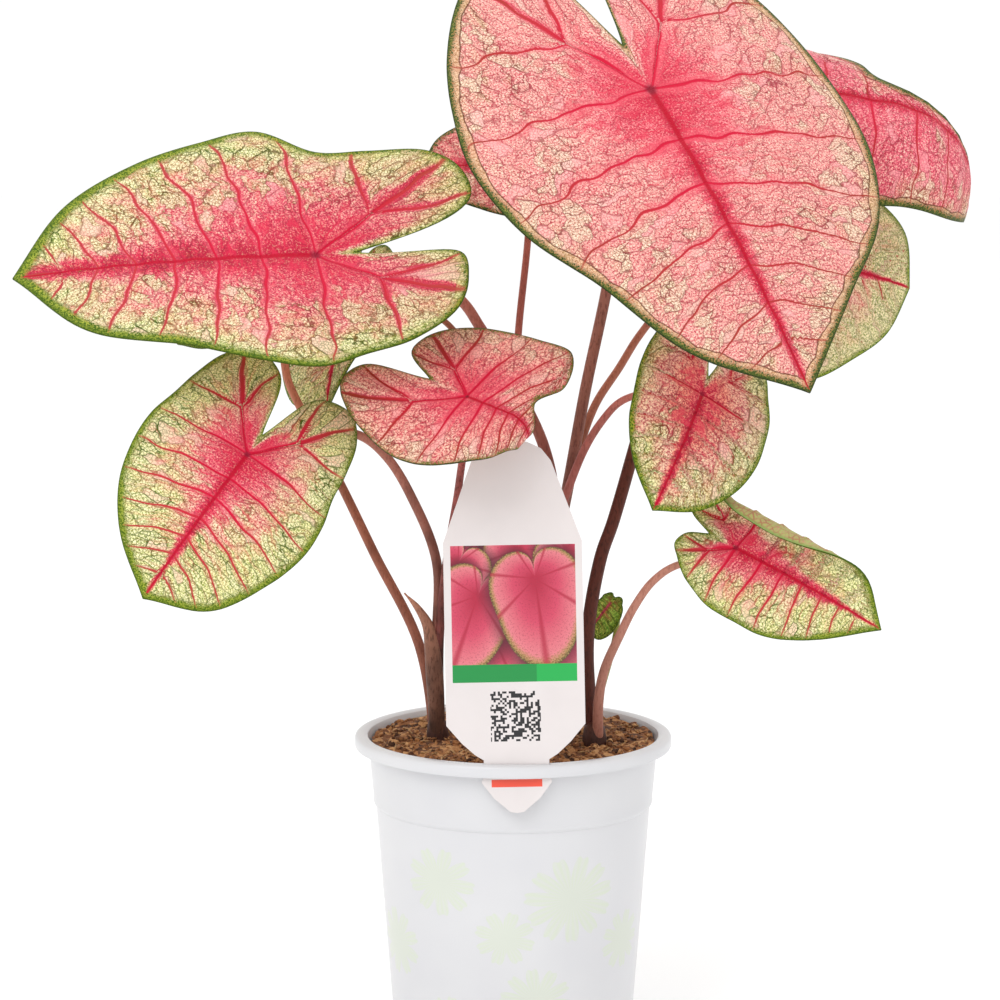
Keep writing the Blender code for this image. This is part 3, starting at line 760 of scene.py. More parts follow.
@dataclass
class Look:
    """The colours of one kind of blade in sRGB hex, and its widths in millimetres and shares."""

    ground: str
    rose: str
    crimson: str
    deep: str
    far: str
    window_near: str
    window_far: str
    clean: str
    stipple: str
    window_stipple: str
    net: str
    net_pink: str
    patch: str
    vein_near: str
    vein_far: str
    rib: str
    line: str
    band: str
    band_speck: str
    margin: str
    margin_speck: str
    edge: str
    spot: str
    under: str
    flush_width: float
    flush_reach: float
    fade_from: float
    fade_to: float
    window_from: float
    window_to: float
    margin_tip: float
    margin_lobe: float
    collective: float
    glow_width: float = 3.2
    clean_from: float = 0.87
    patch_from: float = 0.42
    patch_share: float = 0.6
    cells: float = 5.4
    line_share: float = 0.85
    stipple_share: float = 0.85
    net_share: float = 1.0
    streaks: float = 0.65
    seed: float = 0.0


PINK_LOOK = Look(
    ground="#FDB6AC", rose="#F47480", crimson="#D92C4A", deep="#BE1636", far="#FCE0B4", window_near="#FDD8C8",
    window_far="#FDEECC", clean="#FAB0B2", stipple="#B8203C", window_stipple="#8E6A30", net="#4E3214",
    net_pink="#981C34", patch="#6A7228", vein_near="#CC1036", vein_far="#A03C2E", rib="#B80628",
    line="#5E321A", band="#EDC49A", band_speck="#A9824A", margin="#34481A", margin_speck="#8C9440",
    edge="#20300E", spot="#55202E", under="#CC9E86", flush_width=9.0, flush_reach=0.4, fade_from=0.78,
    fade_to=1.35, window_from=0.66, window_to=0.34, margin_tip=2.0, margin_lobe=1.7, collective=5.0,
    glow_width=3.8, streaks=0.55, net_share=0.9, stipple_share=0.85,
)
LIME_LOOK = Look(
    ground="#FDB2A8", rose="#F47080", crimson="#DB2A4C", deep="#C01438", far="#F8F2AE", window_near="#FDEBCA",
    window_far="#FBF7C4", clean="#F9B6B8", stipple="#B82040", window_stipple="#7F8F28", net="#42580A",
    net_pink="#A01E38", patch="#6C861E", vein_near="#CE1038", vein_far="#B2443A", rib="#BC062C",
    line="#7A6A24", band="#DADC82", band_speck="#86982C", margin="#47640A", margin_speck="#C4CC48",
    edge="#3E5608", spot="#722038", under="#A9B667", flush_width=11.0, flush_reach=0.42, fade_from=0.4,
    fade_to=0.85, window_from=0.5, window_to=0.22, margin_tip=3.2, margin_lobe=1.0, collective=4.6,
    glow_width=2.2, line_share=0.4, stipple_share=0.92, streaks=0.75,
)
PINK_BLADES = ("leaf_01", "leaf_04", "leaf_05")
LOOKS = {
    "leaf_01": PINK_LOOK,
    "leaf_02": replace(
        LIME_LOOK, seed=2.0, flush_width=19.0, flush_reach=0.55, fade_from=0.56, fade_to=1.08, cells=3.6,
        margin_tip=3.8, margin_lobe=1.3, margin="#42600A",
    ),
    "leaf_03": replace(
        LIME_LOOK, seed=3.0, margin_tip=2.4, collective=3.4, flush_width=6.5, cells=3.6, glow_width=1.6,
        ground="#FEC2AC", fade_from=0.34, fade_to=0.8,
    ),
    "leaf_04": replace(
        PINK_LOOK, seed=4.0, flush_width=6.5, flush_reach=0.5, ground="#FFB4A6", far="#FDD8AE",
        crimson="#E23652", patch_share=0.4, margin_tip=0.8, margin_lobe=0.8, collective=1.6, line_share=0.3,
        margin="#6A6A2A", cells=3.2,
    ),
    "leaf_05": replace(
        PINK_LOOK, seed=5.0, ground="#F77F8E", rose="#EE5570", fade_from=0.75, fade_to=1.45, window_from=0.7,
        window_to=0.45, net="#8A3C30", margin_tip=2.6, margin_lobe=2.2, collective=4.4, glow_width=3.0,
        streaks=0.35,
    ),
    "leaf_06": replace(
        LIME_LOOK, seed=6.0, ground="#FDC8B4", window_near="#FDDDBE", window_far="#FBEEC0", far="#FBEDB8",
        net_share=0.6, flush_width=4.0, flush_reach=0.2, margin_tip=1.0, margin_lobe=0.9, collective=2.6,
        line_share=0.3,
    ),
    "leaf_07": replace(
        LIME_LOOK, seed=7.0, flush_width=6.5, flush_reach=0.5, fade_from=0.6, fade_to=1.0, rose="#FF9C88",
        ground="#FFCCB4", crimson="#E63E58", patch_share=0.3, margin_tip=1.5, margin_lobe=1.0, collective=2.8,
        cells=3.4,
    ),
    "leaf_08": replace(
        PINK_LOOK, seed=8.0, ground="#F3A098", margin_tip=1.0, margin_lobe=1.0, collective=2.4,
        line_share=0.4, cells=3.2,
    ),
    "leaf_09": replace(
        LIME_LOOK, seed=9.0, flush_width=7.0, flush_reach=0.4, fade_from=0.32, fade_to=0.76, patch_share=0.4,
        margin_tip=1.7, margin_lobe=0.8, collective=3.2, cells=3.2,
    ),
    "leaf_10": replace(
        LIME_LOOK, seed=10.0, ground="#ACCB58", rose="#B4883C", crimson="#C0644A", deep="#C04A50",
        window_near="#CFD65C", far="#A4C64C", window_far="#DCE070", clean="#A8BE54", flush_width=1.6,
        flush_reach=0.05, margin_tip=0.8, margin_lobe=0.6, collective=1.2, line_share=0.2, stipple="#5C8428",
        vein_near="#8A6A34", vein_far="#6A8A34", rib="#C0485A", spot="#A84A48", window_stipple="#5C8428",
        net="#5A8428", net_pink="#5A8428", glow_width=0.5, cells=2.4,
    ),
    "leaf_11": replace(
        LIME_LOOK, seed=11.0, flush_width=4.0, flush_reach=0.2, margin_tip=0.8, margin_lobe=0.6,
        collective=2.0, line_share=0.2, cells=3.2,
    ),
    "leaf_12": replace(LIME_LOOK, seed=12.0, margin_tip=1.4, margin_lobe=0.9, collective=2.4, cells=3.0),
}


# Leaf materials

# Sizes in a blade's pattern, in millimetres
WANDER_SIZE = 7.0
SWAY_SIZE = 12.0
STIPPLE_SIZE = 0.75
CELL_LENGTH = 6.5
FINE_CELL = 1.4
UNDER_CELL = 2.2
MOTTLE_SIZE = 4.0
LEAF_RELIEF = 0.3
# The cuticle's refraction and its dull sheen, and the largest share of clean pink in a cell
LEAF_IOR = 1.45
LEAF_SHEEN = 0.18
CLEAN_SHARE = 0.42
# The lines of a net are drawn from the distance to the nearest border between two cells
NET_LINES = {"feature": "DISTANCE_TO_EDGE", "voronoi_dimensions": "2D"}


def leaf_map(node, seed):
    """What a blade's pattern is drawn from: its place on the flat blade in millimetres, the distances to its
    margin and midrib, and the stored field of its side veins."""
    at = SimpleNamespace()
    flat = node("Attribute", output=1, attribute_name="flat")
    at.across, at.along, at.margin = (node("SeparateXYZ", flat, output=k) for k in range(3))
    field = node("Attribute", output=1, attribute_name="veins")
    at.phase, at.spacing, at.rank = (node("SeparateXYZ", field, output=k) for k in range(3))
    at.place = node("CombineXYZ", at.across, at.along, seed)
    behind = node("Math MINIMUM", at.along, 0.0)
    at.rib_gap = node("VectorMath LENGTH", node("CombineXYZ", at.across, behind), output=1)
    return at


def swing(node, place, **words):
    """A noise that swings about 0."""
    return node("Math SUBTRACT", node("TexNoise", Vector=place, **words), 0.5)


def upper_map(node, look, length):
    """The leaf's map with side veins that sway, and the noises that layers of the upper face share."""
    at = leaf_map(node, look.seed)
    at.length = length
    at.size = length / BIG_BLADE
    at.side = node("Math ABSOLUTE", at.across)
    at.half = node("Math MULTIPLY_ADD", node("Math SIGN", at.across), 5.0, look.seed)
    at.wander = swing(node, at.place, Scale=1 / WANDER_SIZE, Detail=3.0)
    sway = swing(node, at.place, Scale=1 / SWAY_SIZE, Detail=0.0)
    at.phase = node("Math MULTIPLY_ADD", sway, 0.24, at.phase)
    at.share = node("Math PINGPONG", at.phase, 0.5)
    at.gap = node("Math MULTIPLY", at.share, at.spacing)
    at.junction = node("VectorMath LENGTH", node("CombineXYZ", at.across, at.along), output=1)
    at.reach = node("Math DIVIDE", at.junction, node("Math ADD", at.junction, at.margin))
    at.grain = node("TexNoise", Vector=at.place, Scale=1 / STIPPLE_SIZE, Detail=3.0, Roughness=0.8)
    outwards = node("Math MULTIPLY", at.side, 0.07)
    feather = node("CombineXYZ", node("Math MULTIPLY_ADD", at.phase, 5.5, at.wander), outwards, at.half)
    at.feather = swing(node, feather, Scale=1.0, Detail=3.0, Roughness=0.7)
    cluster = node("CombineXYZ", node("Math MULTIPLY", at.phase, 1.1), outwards, at.half)
    at.cluster = swing(node, cluster, Scale=1.0, Detail=4.0, Roughness=0.62)
    # Cells of the net, laid between the side veins
    net_across = node("Math MULTIPLY_ADD", at.phase, look.cells, at.half)
    net_across = node("Math MULTIPLY_ADD", at.wander, 2.6, net_across)
    net_along = node("Math MULTIPLY", at.side, 1 / CELL_LENGTH)
    net_along = node("Math MULTIPLY_ADD", at.wander, 2.2, net_along)
    at.net_place = node("CombineXYZ", net_across, net_along)
    return at


def flushed(node, look, at):
    """Flush: widest at the junction, narrowing along the ribs, and feathered along the side veins."""
    width = node("MapRange", at.reach, 0.0, 1.0, look.flush_width, look.flush_width * 0.2)
    basal = node("MapRange", at.rank, 0.0, 1.0, 9.0, 1.7)
    from_rib = node("Math MINIMUM", node("Math MULTIPLY", at.gap, basal), at.rib_gap)
    from_rib = node("Math MULTIPLY_ADD", at.feather, 1.5, node("Math DIVIDE", from_rib, width))
    along_rib = node("MapRange SMOOTHSTEP", from_rib, 0.0, 1.3, 1.0, 0.0)
    from_centre = node("Math MULTIPLY_ADD", at.feather, 0.5, at.reach)
    centre = node("MapRange SMOOTHSTEP", from_centre, 0.02, look.flush_reach * 1.35, 0.85, 0.0)
    at.flush = node("Math MAXIMUM", along_rib, centre)
    stops = ((0.0, look.ground), (0.4, look.rose), (0.8, look.crimson), (1.0, look.deep))
    return node("ValToRGB", at.flush, stops=stops)


def paled(node, look, at, colour):
    """The ground pales towards the margin, and whole cells of the net are paler windows or clean pink."""
    cell = node("TexVoronoi", Vector=at.net_place, Scale=1.0, output=1, voronoi_dimensions="2D")
    first, second, at.third = (node("SeparateColor", cell, output=k) for k in range(3))
    fade = node("Math MULTIPLY_ADD", at.cluster, 1.3, at.reach)
    fade = node("Math MULTIPLY_ADD", at.flush, -0.45, fade)
    fade = node("MapRange SMOOTHSTEP", fade, look.fade_from, look.fade_to, 0.0, 1.0)
    colour = node("Mix", fade, colour, look.far)
    window = node("Math MULTIPLY_ADD", first, 0.55, at.cluster)
    window = node("Math MULTIPLY_ADD", at.flush, -0.4, window)
    least = node("MapRange", at.reach, 0.1, 0.9, look.window_from, look.window_to)
    window = node("Math SUBTRACT", window, least)
    window = node("MapRange SMOOTHSTEP", window, -0.06, 0.12, 0.0, 0.6)
    at.window_colour = node("Mix", at.reach, look.window_near, look.window_far)
    colour = node("Mix", window, colour, at.window_colour)
    at.pale = node("Math MAXIMUM", fade, window)
    clean = node("Math MULTIPLY_ADD", at.flush, -0.3, second)
    clean = node("MapRange", clean, look.clean_from, look.clean_from + 0.04, 0.0, CLEAN_SHARE)
    at.dirty = node("MapRange", clean, 0.0, CLEAN_SHARE, 1.0, 0.4)
    return node("Mix", clean, colour, look.clean)


def stippled(node, look, at, colour):
    """Stipple: dark and light grains, redder on the pink and greener on the pale parts, and patches."""
    grains = node("MapRange", at.grain, 0.5, 0.57, 0.0, look.stipple_share)
    grains = node("Math MULTIPLY", grains, at.dirty)
    colour = node("Mix", grains, colour, node("Mix", at.pale, look.stipple, look.window_stipple))
    light = node("MapRange", at.grain, 0.38, 0.46, 0.7, 0.0)
    light = node("Math MULTIPLY", light, node("MapRange", at.flush, 0.1, 0.9, 1.0, 0.42))
    light = node("Math MULTIPLY", light, at.dirty)
    colour = node("Mix", light, colour, at.window_colour)
    patch = node("Math MULTIPLY_ADD", at.third, 0.4, at.cluster)
    patch = node("MapRange", patch, look.patch_from, look.patch_from + 0.08, 0.0, look.patch_share)
    patch = node("Math MULTIPLY", patch, node("MapRange", at.grain, 0.44, 0.54))
    patch = node("Math MULTIPLY", patch, node("MapRange", at.reach, 0.4, 0.7))
    return node("Mix", patch, colour, look.patch)


def netted(node, look, at, colour):
    """Net: lines round the cells, and a finer net inside them."""
    coarse = node("TexVoronoi", Vector=at.net_place, Scale=1.0, **NET_LINES)
    coarse = node("MapRange SMOOTHSTEP", coarse, 0.02, 0.085, 1.0, 0.0)
    bent = node("Math MULTIPLY", at.wander, 2.5)
    fine = node("VectorMath ADD", at.place, node("CombineXYZ", bent, bent))
    fine = node("TexVoronoi", Vector=fine, Scale=1 / FINE_CELL, **NET_LINES)
    fine = node("MapRange SMOOTHSTEP", fine, 0.02, 0.15, 0.66, 0.0)
    patchy = node("MapRange", at.cluster, -0.2, 0.12, 0.45, 1.0)
    amount = node("MapRange SMOOTHSTEP", at.reach, 0.05, 0.6, 0.35, look.net_share)
    amount = node("Math MULTIPLY", amount, patchy)
    at.net = node("Math MULTIPLY", node("Math MAXIMUM", coarse, fine), amount)
    return node("Mix", at.net, colour, node("Mix", at.pale, look.net_pink, look.net))


def streaked(node, look, at, colour):
    """Streaks of crimson run out beside the side veins."""
    streak = node("Math MULTIPLY", at.phase, look.cells * 2.6)
    streak = node("Math MULTIPLY_ADD", at.wander, 5.0, streak)
    streak = node("CombineXYZ", streak, node("Math MULTIPLY", at.side, 0.1), at.half)
    streak = node("TexNoise", Vector=streak, Scale=1.0, Detail=2.0)
    streak = node("MapRange", streak, 0.52, 0.62, 0.0, look.streaks)
    streak = node("Math MULTIPLY", streak, node("MapRange", at.reach, 0.25, 0.95, 1.0, 0.1))
    return node("Mix", streak, colour, look.crimson)


def banded(node, look, at, colour):
    """Along the margin: a wavy line that bows out between the side veins, and a speckled band outside it."""
    bowed = node("Math MULTIPLY_ADD", at.share, 3.0, at.margin)
    bowed = node("Math MULTIPLY_ADD", at.wander, 2.2, bowed)
    band = node("MapRange", bowed, look.collective - 0.3, look.collective + 0.2, 0.8 * look.line_share, 0.0)
    speck = node("MapRange", at.grain, 0.46, 0.56)
    colour = node("Mix", band, colour, node("Mix", speck, look.band, look.band_speck))
    line = node("Math ABSOLUTE", node("Math SUBTRACT", bowed, look.collective))
    line = node("MapRange SMOOTHSTEP", line, 0.1, 0.45, look.line_share, 0.0)
    return node("Mix", line, colour, look.line)


def veined(node, look, at, colour):
    """Veins: crimson by the midrib and browner towards the margin, each in a soft flush of its own."""
    width = node("Math MULTIPLY_ADD", at.rank, 0.4, 0.42)
    width = node("Math MULTIPLY", width, node("MapRange", at.reach, 0.1, 0.95, 1.0, 0.55))
    vein = node("MapRange SMOOTHSTEP", node("Math DIVIDE", at.gap, width), 0.7, 1.9, 1.0, 0.0)
    vein_end = node("MapRange", at.margin, look.margin_lobe, look.collective + 1.5, 0.5, 1.0)
    at.vein = node("Math MULTIPLY", vein, vein_end)
    tint = node("MapRange", at.reach, 0.4, 0.95)
    vein_colour = node("Mix", tint, look.vein_near, look.vein_far)
    glow = node("Math MULTIPLY_ADD", at.feather, 3.0, at.gap)
    glow = node("MapRange", glow, 0.0, look.glow_width, 0.75, 0.0)
    glow = node("Math MULTIPLY", glow, node("MapRange", at.reach, 0.3, 1.0, 1.0, 0.1))
    colour = node("Mix", glow, colour, node("Mix", glow, look.rose, look.crimson))
    colour = node("Mix", at.vein, colour, vein_colour)
    core_width = node("MapRange", at.reach, 0.0, 1.0, 0.95 * at.size + 0.2, 0.3)
    core = node("Math DIVIDE", at.rib_gap, core_width)
    core = node("MapRange SMOOTHSTEP", core, 0.6, 1.6, 0.95, 0.0)
    return node("Mix", core, colour, look.rib)


def edged(node, look, at, colour):
    """Green edge: ragged inwards, speckled, wider towards the tip, and dark at the rim."""
    width = node("MapRange", at.along, -0.3 * at.length, 0.75 * at.length, look.margin_lobe, look.margin_tip)
    torn = node("Math MULTIPLY_ADD", node("Math SUBTRACT", at.grain, 0.5), 11.0, at.margin)
    torn = node("Math MULTIPLY_ADD", at.cluster, 5.0, torn)
    green = node("MapRange", node("Math DIVIDE", torn, width), 0.75, 1.15, 1.0, 0.0)
    inwards = node("Math DIVIDE", at.margin, width)
    dotted = node("MapRange", at.grain, 0.46, 0.56)
    dotted = node("Math MULTIPLY", dotted, node("MapRange", inwards, 0.2, 0.9, 0.3, 1.0))
    colour = node("Mix", green, colour, node("Mix", dotted, look.margin, look.margin_speck))
    rim = node("MapRange", at.margin, 0.0, 0.35, 0.85, 0.0)
    return node("Mix", rim, colour, look.edge)


def upper_face(name, look, length):
    """Living caladium leaf, grown thin: a satin cuticle over flesh that is flushed along the ribs, with pale
    windows and a fine net between the side veins, and a speckled green margin."""
    made, node, shader = new_material(name)
    at = upper_map(node, look, length)
    colour = flushed(node, look, at)
    for layer in (paled, stippled, netted, streaked, banded, veined, edged):
        colour = layer(node, look, at, colour)
    spot = node("MapRange SMOOTHSTEP", at.junction, 1.0 * at.size, 3.4 * at.size, 0.55, 0.0)
    colour = node("Mix", spot, colour, look.spot)
    quilt = node("Math MULTIPLY", at.share, 2.4)
    relief = node("Math SUBTRACT", quilt, node("Math MAXIMUM", at.net, at.vein))
    bump = node("Bump", Strength=0.7, Distance=LEAF_RELIEF * MM, Height=relief)
    connect(shader, {"Base Color": colour, "Roughness": 0.5, "IOR": LEAF_IOR, "Normal": bump})
    connect(shader, {"Specular IOR Level": LEAF_SHEEN})
    return made


def under_face(name, look):
    """Underside of the same living leaf: matt and duller, with the upper face's colours showing through."""
    made, node, shader = new_material(name)
    at = leaf_map(node, look.seed)
    gap = node("Math MULTIPLY", node("Math PINGPONG", at.phase, 0.5), at.spacing)
    mottle = node("TexNoise", Vector=at.place, Scale=1 / MOTTLE_SIZE, Detail=4.0)
    cloudy = node("MapRange", mottle, 0.4, 0.62, 0.0, 0.5)
    colour = node("Mix", cloudy, look.under, "#A3B05C")
    grain = node("TexNoise", Vector=at.place, Scale=1 / STIPPLE_SIZE, Detail=3.0, Roughness=0.8)
    colour = node("Mix", node("MapRange", grain, 0.48, 0.57, 0.0, 0.75), colour, "#BC8672")
    net = node("TexVoronoi", Vector=at.place, Scale=1 / UNDER_CELL, **NET_LINES)
    net = node("MapRange SMOOTHSTEP", net, 0.03, 0.22, 0.85, 0.0)
    net = node("Math MULTIPLY", net, node("MapRange", mottle, 0.36, 0.52))
    colour = node("Mix", net, colour, "#A8664E")
    pink = node("MapRange SMOOTHSTEP", node("Math MINIMUM", gap, at.rib_gap), 0.2, 1.1, 0.7, 0.0)
    colour = node("Mix", pink, colour, "#C47A6E")
    green = node("MapRange", at.margin, 0.3, 1.4, 0.9, 0.0)
    colour = node("Mix", green, colour, "#7C9A4A")
    bump = node("Bump", Strength=0.4, Distance=LEAF_RELIEF * MM, Height=pink)
    connect(shader, {"Base Color": colour, "Roughness": 0.6, "Normal": bump})
    return made


def add_leaves():
    for name, blade in BLADES.items():
        upper = upper_face(f"{name} upper face, living leaf", LOOKS[name], blade.tip)
        under = under_face(f"{name} underside, living leaf", LOOKS[name])
        leaf = add_leaf(f"blade_{name[-2:]}", blade, upper, under)
        place_piece(leaf, "pink_blade" if name in PINK_BLADES else "lime_blade", name)


# Stalks

# Heights where a stalk starts in its crown, how far below the blade's upper face it ends, and how far it runs
# straight at the blade
STALK_FEET = (TUBER_TOP + 6.0, CROWN_TOP - 10.0)
SUNK_END = 1.0
STRAIGHT_END = 7.0
STALK_STEPS = 10
STALK_SIDES = 20
CROWN_SIDES = 24
# Three soft ridges run along each stalk
RIDGE = 0.05


def stalk_points(name, stalk):
    """The stalk's centre line in millimetres, from inside its crown to the underside of its blade."""
    foot = Vector((*stalk.foot, 0.0))
    points = [foot + Vector((0, 0, height)) for height in STALK_FEET]
    points += [Vector(point) for point in stalk.route]
    if name in BLADES:
        blade = BLADES[name]
        normal = blade_axes(blade.turn)[2]
        end = Vector(blade.junction) - normal * SUNK_END
        points += [end - normal * STRAIGHT_END, end]
    return points


def sections(path):
    """Two directions across a path at each of its points, carried along it without a twist."""
    directions = []
    for k in range(len(path)):
        before, after = path[max(k - 1, 0)], path[min(k + 1, len(path) - 1)]
        directions.append((after - before).normalized())
    side = Vector((1, 0, 0))
    frames = []
    for direction in directions:
        side = (side - direction * side.dot(direction)).normalized()
        frames.append((side.copy(), direction.cross(side)))
    return frames


def add_tube(name, path, radii, sides=STALK_SIDES):
    """A closed tube through a path's points in millimetres, pulled up section by section and bent to it."""
    start_piece()
    bpy.ops.mesh.primitive_circle_add(vertices=sides, radius=1.0, fill_type="NGON")
    tube = open_mesh(name)
    bpy.ops.mesh.region_to_loop()
    for _ in path[1:]:
        bpy.ops.mesh.extrude_edges_move(TRANSFORM_OT_translate={"value": (0, 0, 1)})
    bpy.ops.mesh.edge_face_add()
    close_mesh()
    mesh = tube.data
    frames = sections(path)
    stored = mesh.attributes.new("flat", "FLOAT_VECTOR", "POINT")
    for point in mesh.vertices:
        section = round(point.co.z)
        angle = math.atan2(point.co.y, point.co.x)
        first, second = frames[section]
        radius = radii[section] * (1.0 + RIDGE * math.cos(3 * angle))
        stored.data[point.index].vector = (0.0, 0.0, section / (len(path) - 1))
        point.co = (path[section] + (first * math.cos(angle) + second * math.sin(angle)) * radius) * MM
    mesh.shade_smooth()
    return tube


# Sizes in millimetres: of the clouds in a stalk's colour, and of its flecks and their relief
SKIN_CLOUD = 11.11
SKIN_FLECK = 0.7692
SKIN_RELIEF = 0.15


def stalk_skin(name, low, high, fleck, fleck_share):
    """Living leaf stalk: smooth, faintly waxy skin, flecked with darker cells along its length."""
    made, node, shader = new_material(name)
    flat = node("Attribute", output=1, attribute_name="flat")
    share = node("SeparateXYZ", flat, output=2)
    place = node("TexCoord", output=3)
    cloud = node("TexNoise", Vector=place, Scale=1 / (SKIN_CLOUD * MM), Detail=3.0)
    place_up = node("Mapping", Vector=place, Scale=(1.0, 1.0, 0.28))
    fine = node("TexNoise", Vector=place_up, Scale=1 / (SKIN_FLECK * MM), Detail=3.0, Roughness=0.65)
    depth = node("Math SUBTRACT", cloud, 0.5)
    depth = node("Math MULTIPLY_ADD", depth, 0.6, share)
    colour = node("ValToRGB", depth, stops=((0.15, low), (0.85, high)))
    flecks = node("MapRange", fine, 0.5, 0.62, 0.0, fleck_share)
    colour = node("Mix", flecks, colour, fleck)
    bump = node("Bump", Strength=0.3, Distance=SKIN_RELIEF * MM, Height=fine)
    connect(shader, {"Base Color": colour, "Roughness": 0.5, "Specular IOR Level": 0.2, "Normal": bump})
    return made


# Each stalk's colours at its foot and its top, and the colour and share of its flecks
STALK_COLOURS = {
    "leaf_01": ("#6E463C", "#A56A5A", "#5A2E28", 0.6),
    "leaf_02": ("#7A4238", "#BC7466", "#6A3028", 0.4),
    "leaf_03": ("#6A4238", "#CE8674", "#6E3A30", 0.35),
    "leaf_04": ("#38211A", "#B8625C", "#2A1610", 0.5),
    "leaf_05": ("#55291F", "#6A3428", "#2C1610", 0.5),
    "leaf_06": ("#84503E", "#C87E66", "#70382A", 0.4),
    "leaf_07": ("#84463E", "#CC7A70", "#6E3028", 0.4),
    "leaf_08": ("#84463C", "#B4665A", "#60302A", 0.4),
    "leaf_09": ("#A87262", "#BC8270", "#7C4A3C", 0.4),
    "leaf_10": ("#8A6A44", "#8E9A40", "#5A6A28", 0.3),
    "leaf_11": ("#84463C", "#B8785F", "#60302A", 0.4),
    "leaf_12": ("#84503F", "#CC8068", "#5E3228", 0.35),
    "sheath": ("#1C0E0A", "#B88068", "#2C1812", 0.5),
}

CROWN_COLOURS = ("#2C1A14", "#553228", "#1C100C", 0.5)
TUBER_COLOURS = ("#4A3020", "#7A5638", "#2E1C12", 0.6)

# The sheath is widest about halfway up and ends in a point
SHEATH_HEIGHTS = (100.0, 128.0, 150.0, 162.0, 170.0, 177.0, 181.0)
SHEATH_RADII = (2.6, 3.0, 3.4, 3.0, 2.1, 1.2, 0.35)


def stalk_radii(name, stalk, path):
    """A stalk's radius at each point of its path, thinning quickly at first. The sheath has its own radii."""
    if name == "sheath":
        return [np.interp(point.z, SHEATH_HEIGHTS, SHEATH_RADII) for point in path]
    thinning = stalk.end_radius - stalk.foot_radius
    return [stalk.foot_radius + thinning * (k / (len(path) - 1)) ** 0.6 for k in range(len(path))]


def add_stalks():
    for side, stalks in STALKS.items():
        for name, stalk in stalks.items():
            path = smooth_curve(stalk_points(name, stalk), STALK_STEPS)
            label = name[-2:] if name in BLADES else name
            tube = add_tube(f"stalk_{label}_{side}", path, stalk_radii(name, stalk, path))
            tube.data.materials.append(stalk_skin(f"{name} stalk, living skin", *STALK_COLOURS[name]))
            place_piece(tube, "stalk_skin", f"stalks_{side}")
        (x, y), radius = CROWNS[side]
        heights = (TUBER_TOP + 0.3, 110.0, CROWN_TOP - 6.0, CROWN_TOP - 2.0, CROWN_TOP)
        crown = [Vector((x, y, height)) for height in heights]
        radii = (radius, radius, radius * 0.95, radius * 0.8, 1.5)
        base = add_tube(f"crown_{side}", crown, radii, CROWN_SIDES)
        base.data.materials.append(stalk_skin(f"{side} crown, papery skin", *CROWN_COLOURS))
        place_piece(base, "stalk_skin", f"stalks_{side}")


# Soil

# Sizes in the peat, in millimetres
PEAT_CRUMB = 2.381
PEAT_GRIT = 1.111
PEAT_RELIEF = 0.6
CHIP_GRAIN = 0.9091
PEAT_SPOKES = 160
PEAT_RINGS = 60


def inner_wall(height):
    """The pot's inner radius at this height."""
    if height > STEP_HEIGHT:
        share = (height - STEP_HEIGHT) / (POT_HEIGHT - RIM_DEPTH - STEP_HEIGHT)
        return STEP_RADIUS - WALL + (BODY_TOP_RADIUS - STEP_RADIUS) * share
    share = height / STEP_HEIGHT
    return FOOT_RADIUS - WALL + (STEP_RADIUS - STEP_DROP - FOOT_RADIUS) * share


def soil_height(x, y):
    """Height of the peat's rough top, in millimetres."""
    edge = inner_wall(SOIL_EDGE_HEIGHT)
    share = min(math.hypot(x, y) / edge, 1.0)
    height = SOIL_EDGE_HEIGHT + SOIL_DOME * (1.0 - share**2) + 0.9
    lumps = math.sin(0.31 * x + 0.17 * y) * math.cos(0.23 * y - 0.11 * x) + 0.5 * math.sin(0.7 * x - 0.5 * y)
    rough = noise.noise(Vector((x / 7.0, y / 7.0, 0.3))) * 1.3
    rough += noise.noise(Vector((x / 2.2, y / 2.2, 4.0))) * 0.7
    return height + SOIL_RELIEF * lumps + max(rough, -0.7)


def peat_material():
    """Milled sphagnum peat, loose and dry on top: matt brown crumbs with lighter fibres. Its darkest tone is
    painted shade of the gaps between crumbs.
    """
    made, node, shader = new_material("milled peat, loose crumb")
    place = node("TexCoord", output=3)
    coarse = node("TexVoronoi", Vector=place, Scale=1 / (PEAT_CRUMB * MM), output=1)
    tone = node("SeparateColor", coarse)
    fine = node("TexNoise", Vector=place, Scale=1 / (PEAT_GRIT * MM), Detail=5.0, Roughness=0.7)
    depth = node("Math MULTIPLY_ADD", fine, 0.6, tone)
    depth = node("Math MULTIPLY", depth, 0.62)
    # The darkest stop is painted shade, as in the gaps between crumbs, laid at random wherever the noise is
    # low
    stops = ((0.15, "#3A2317"), (0.4, "#754829"), (0.62, "#A56E40"), (0.85, "#D6A672"))
    colour = node("ValToRGB", depth, stops=stops)
    bump = node("Bump", Strength=0.8, Distance=PEAT_RELIEF * MM, Height=fine)
    connect(shader, {"Base Color": colour, "Roughness": 0.92, "Normal": bump})
    return made


def add_soil_top(peat):
    edge = inner_wall(SOIL_EDGE_HEIGHT) - 0.5
    top = add_disc("peat_top", PEAT_SPOKES, PEAT_RINGS)
    for point in top.data.vertices:
        x, y = point.co.x * edge, point.co.y * edge
        point.co = (x * MM, y * MM, soil_height(x, y) * MM)
    top.data.materials.append(peat)
    top.data.shade_smooth()
    place_piece(top, "peat")


def soil_bit(name, size, stretch, seed, made, rounds=1):
    """One crumb or chip of this size in millimetres: a ball pushed about at random and squeezed."""
    start_piece()
    bpy.ops.mesh.primitive_ico_sphere_add(subdivisions=rounds, radius=size * MM)
    bit = open_mesh(name)
    bpy.ops.transform.vertex_random(offset=0.3 * size * MM, seed=seed)
    bpy.ops.transform.resize(value=stretch, center_override=(0, 0, 0))
    bpy.ops.object.mode_set(mode="OBJECT")
    bit.data.materials.append(made)
    return bit


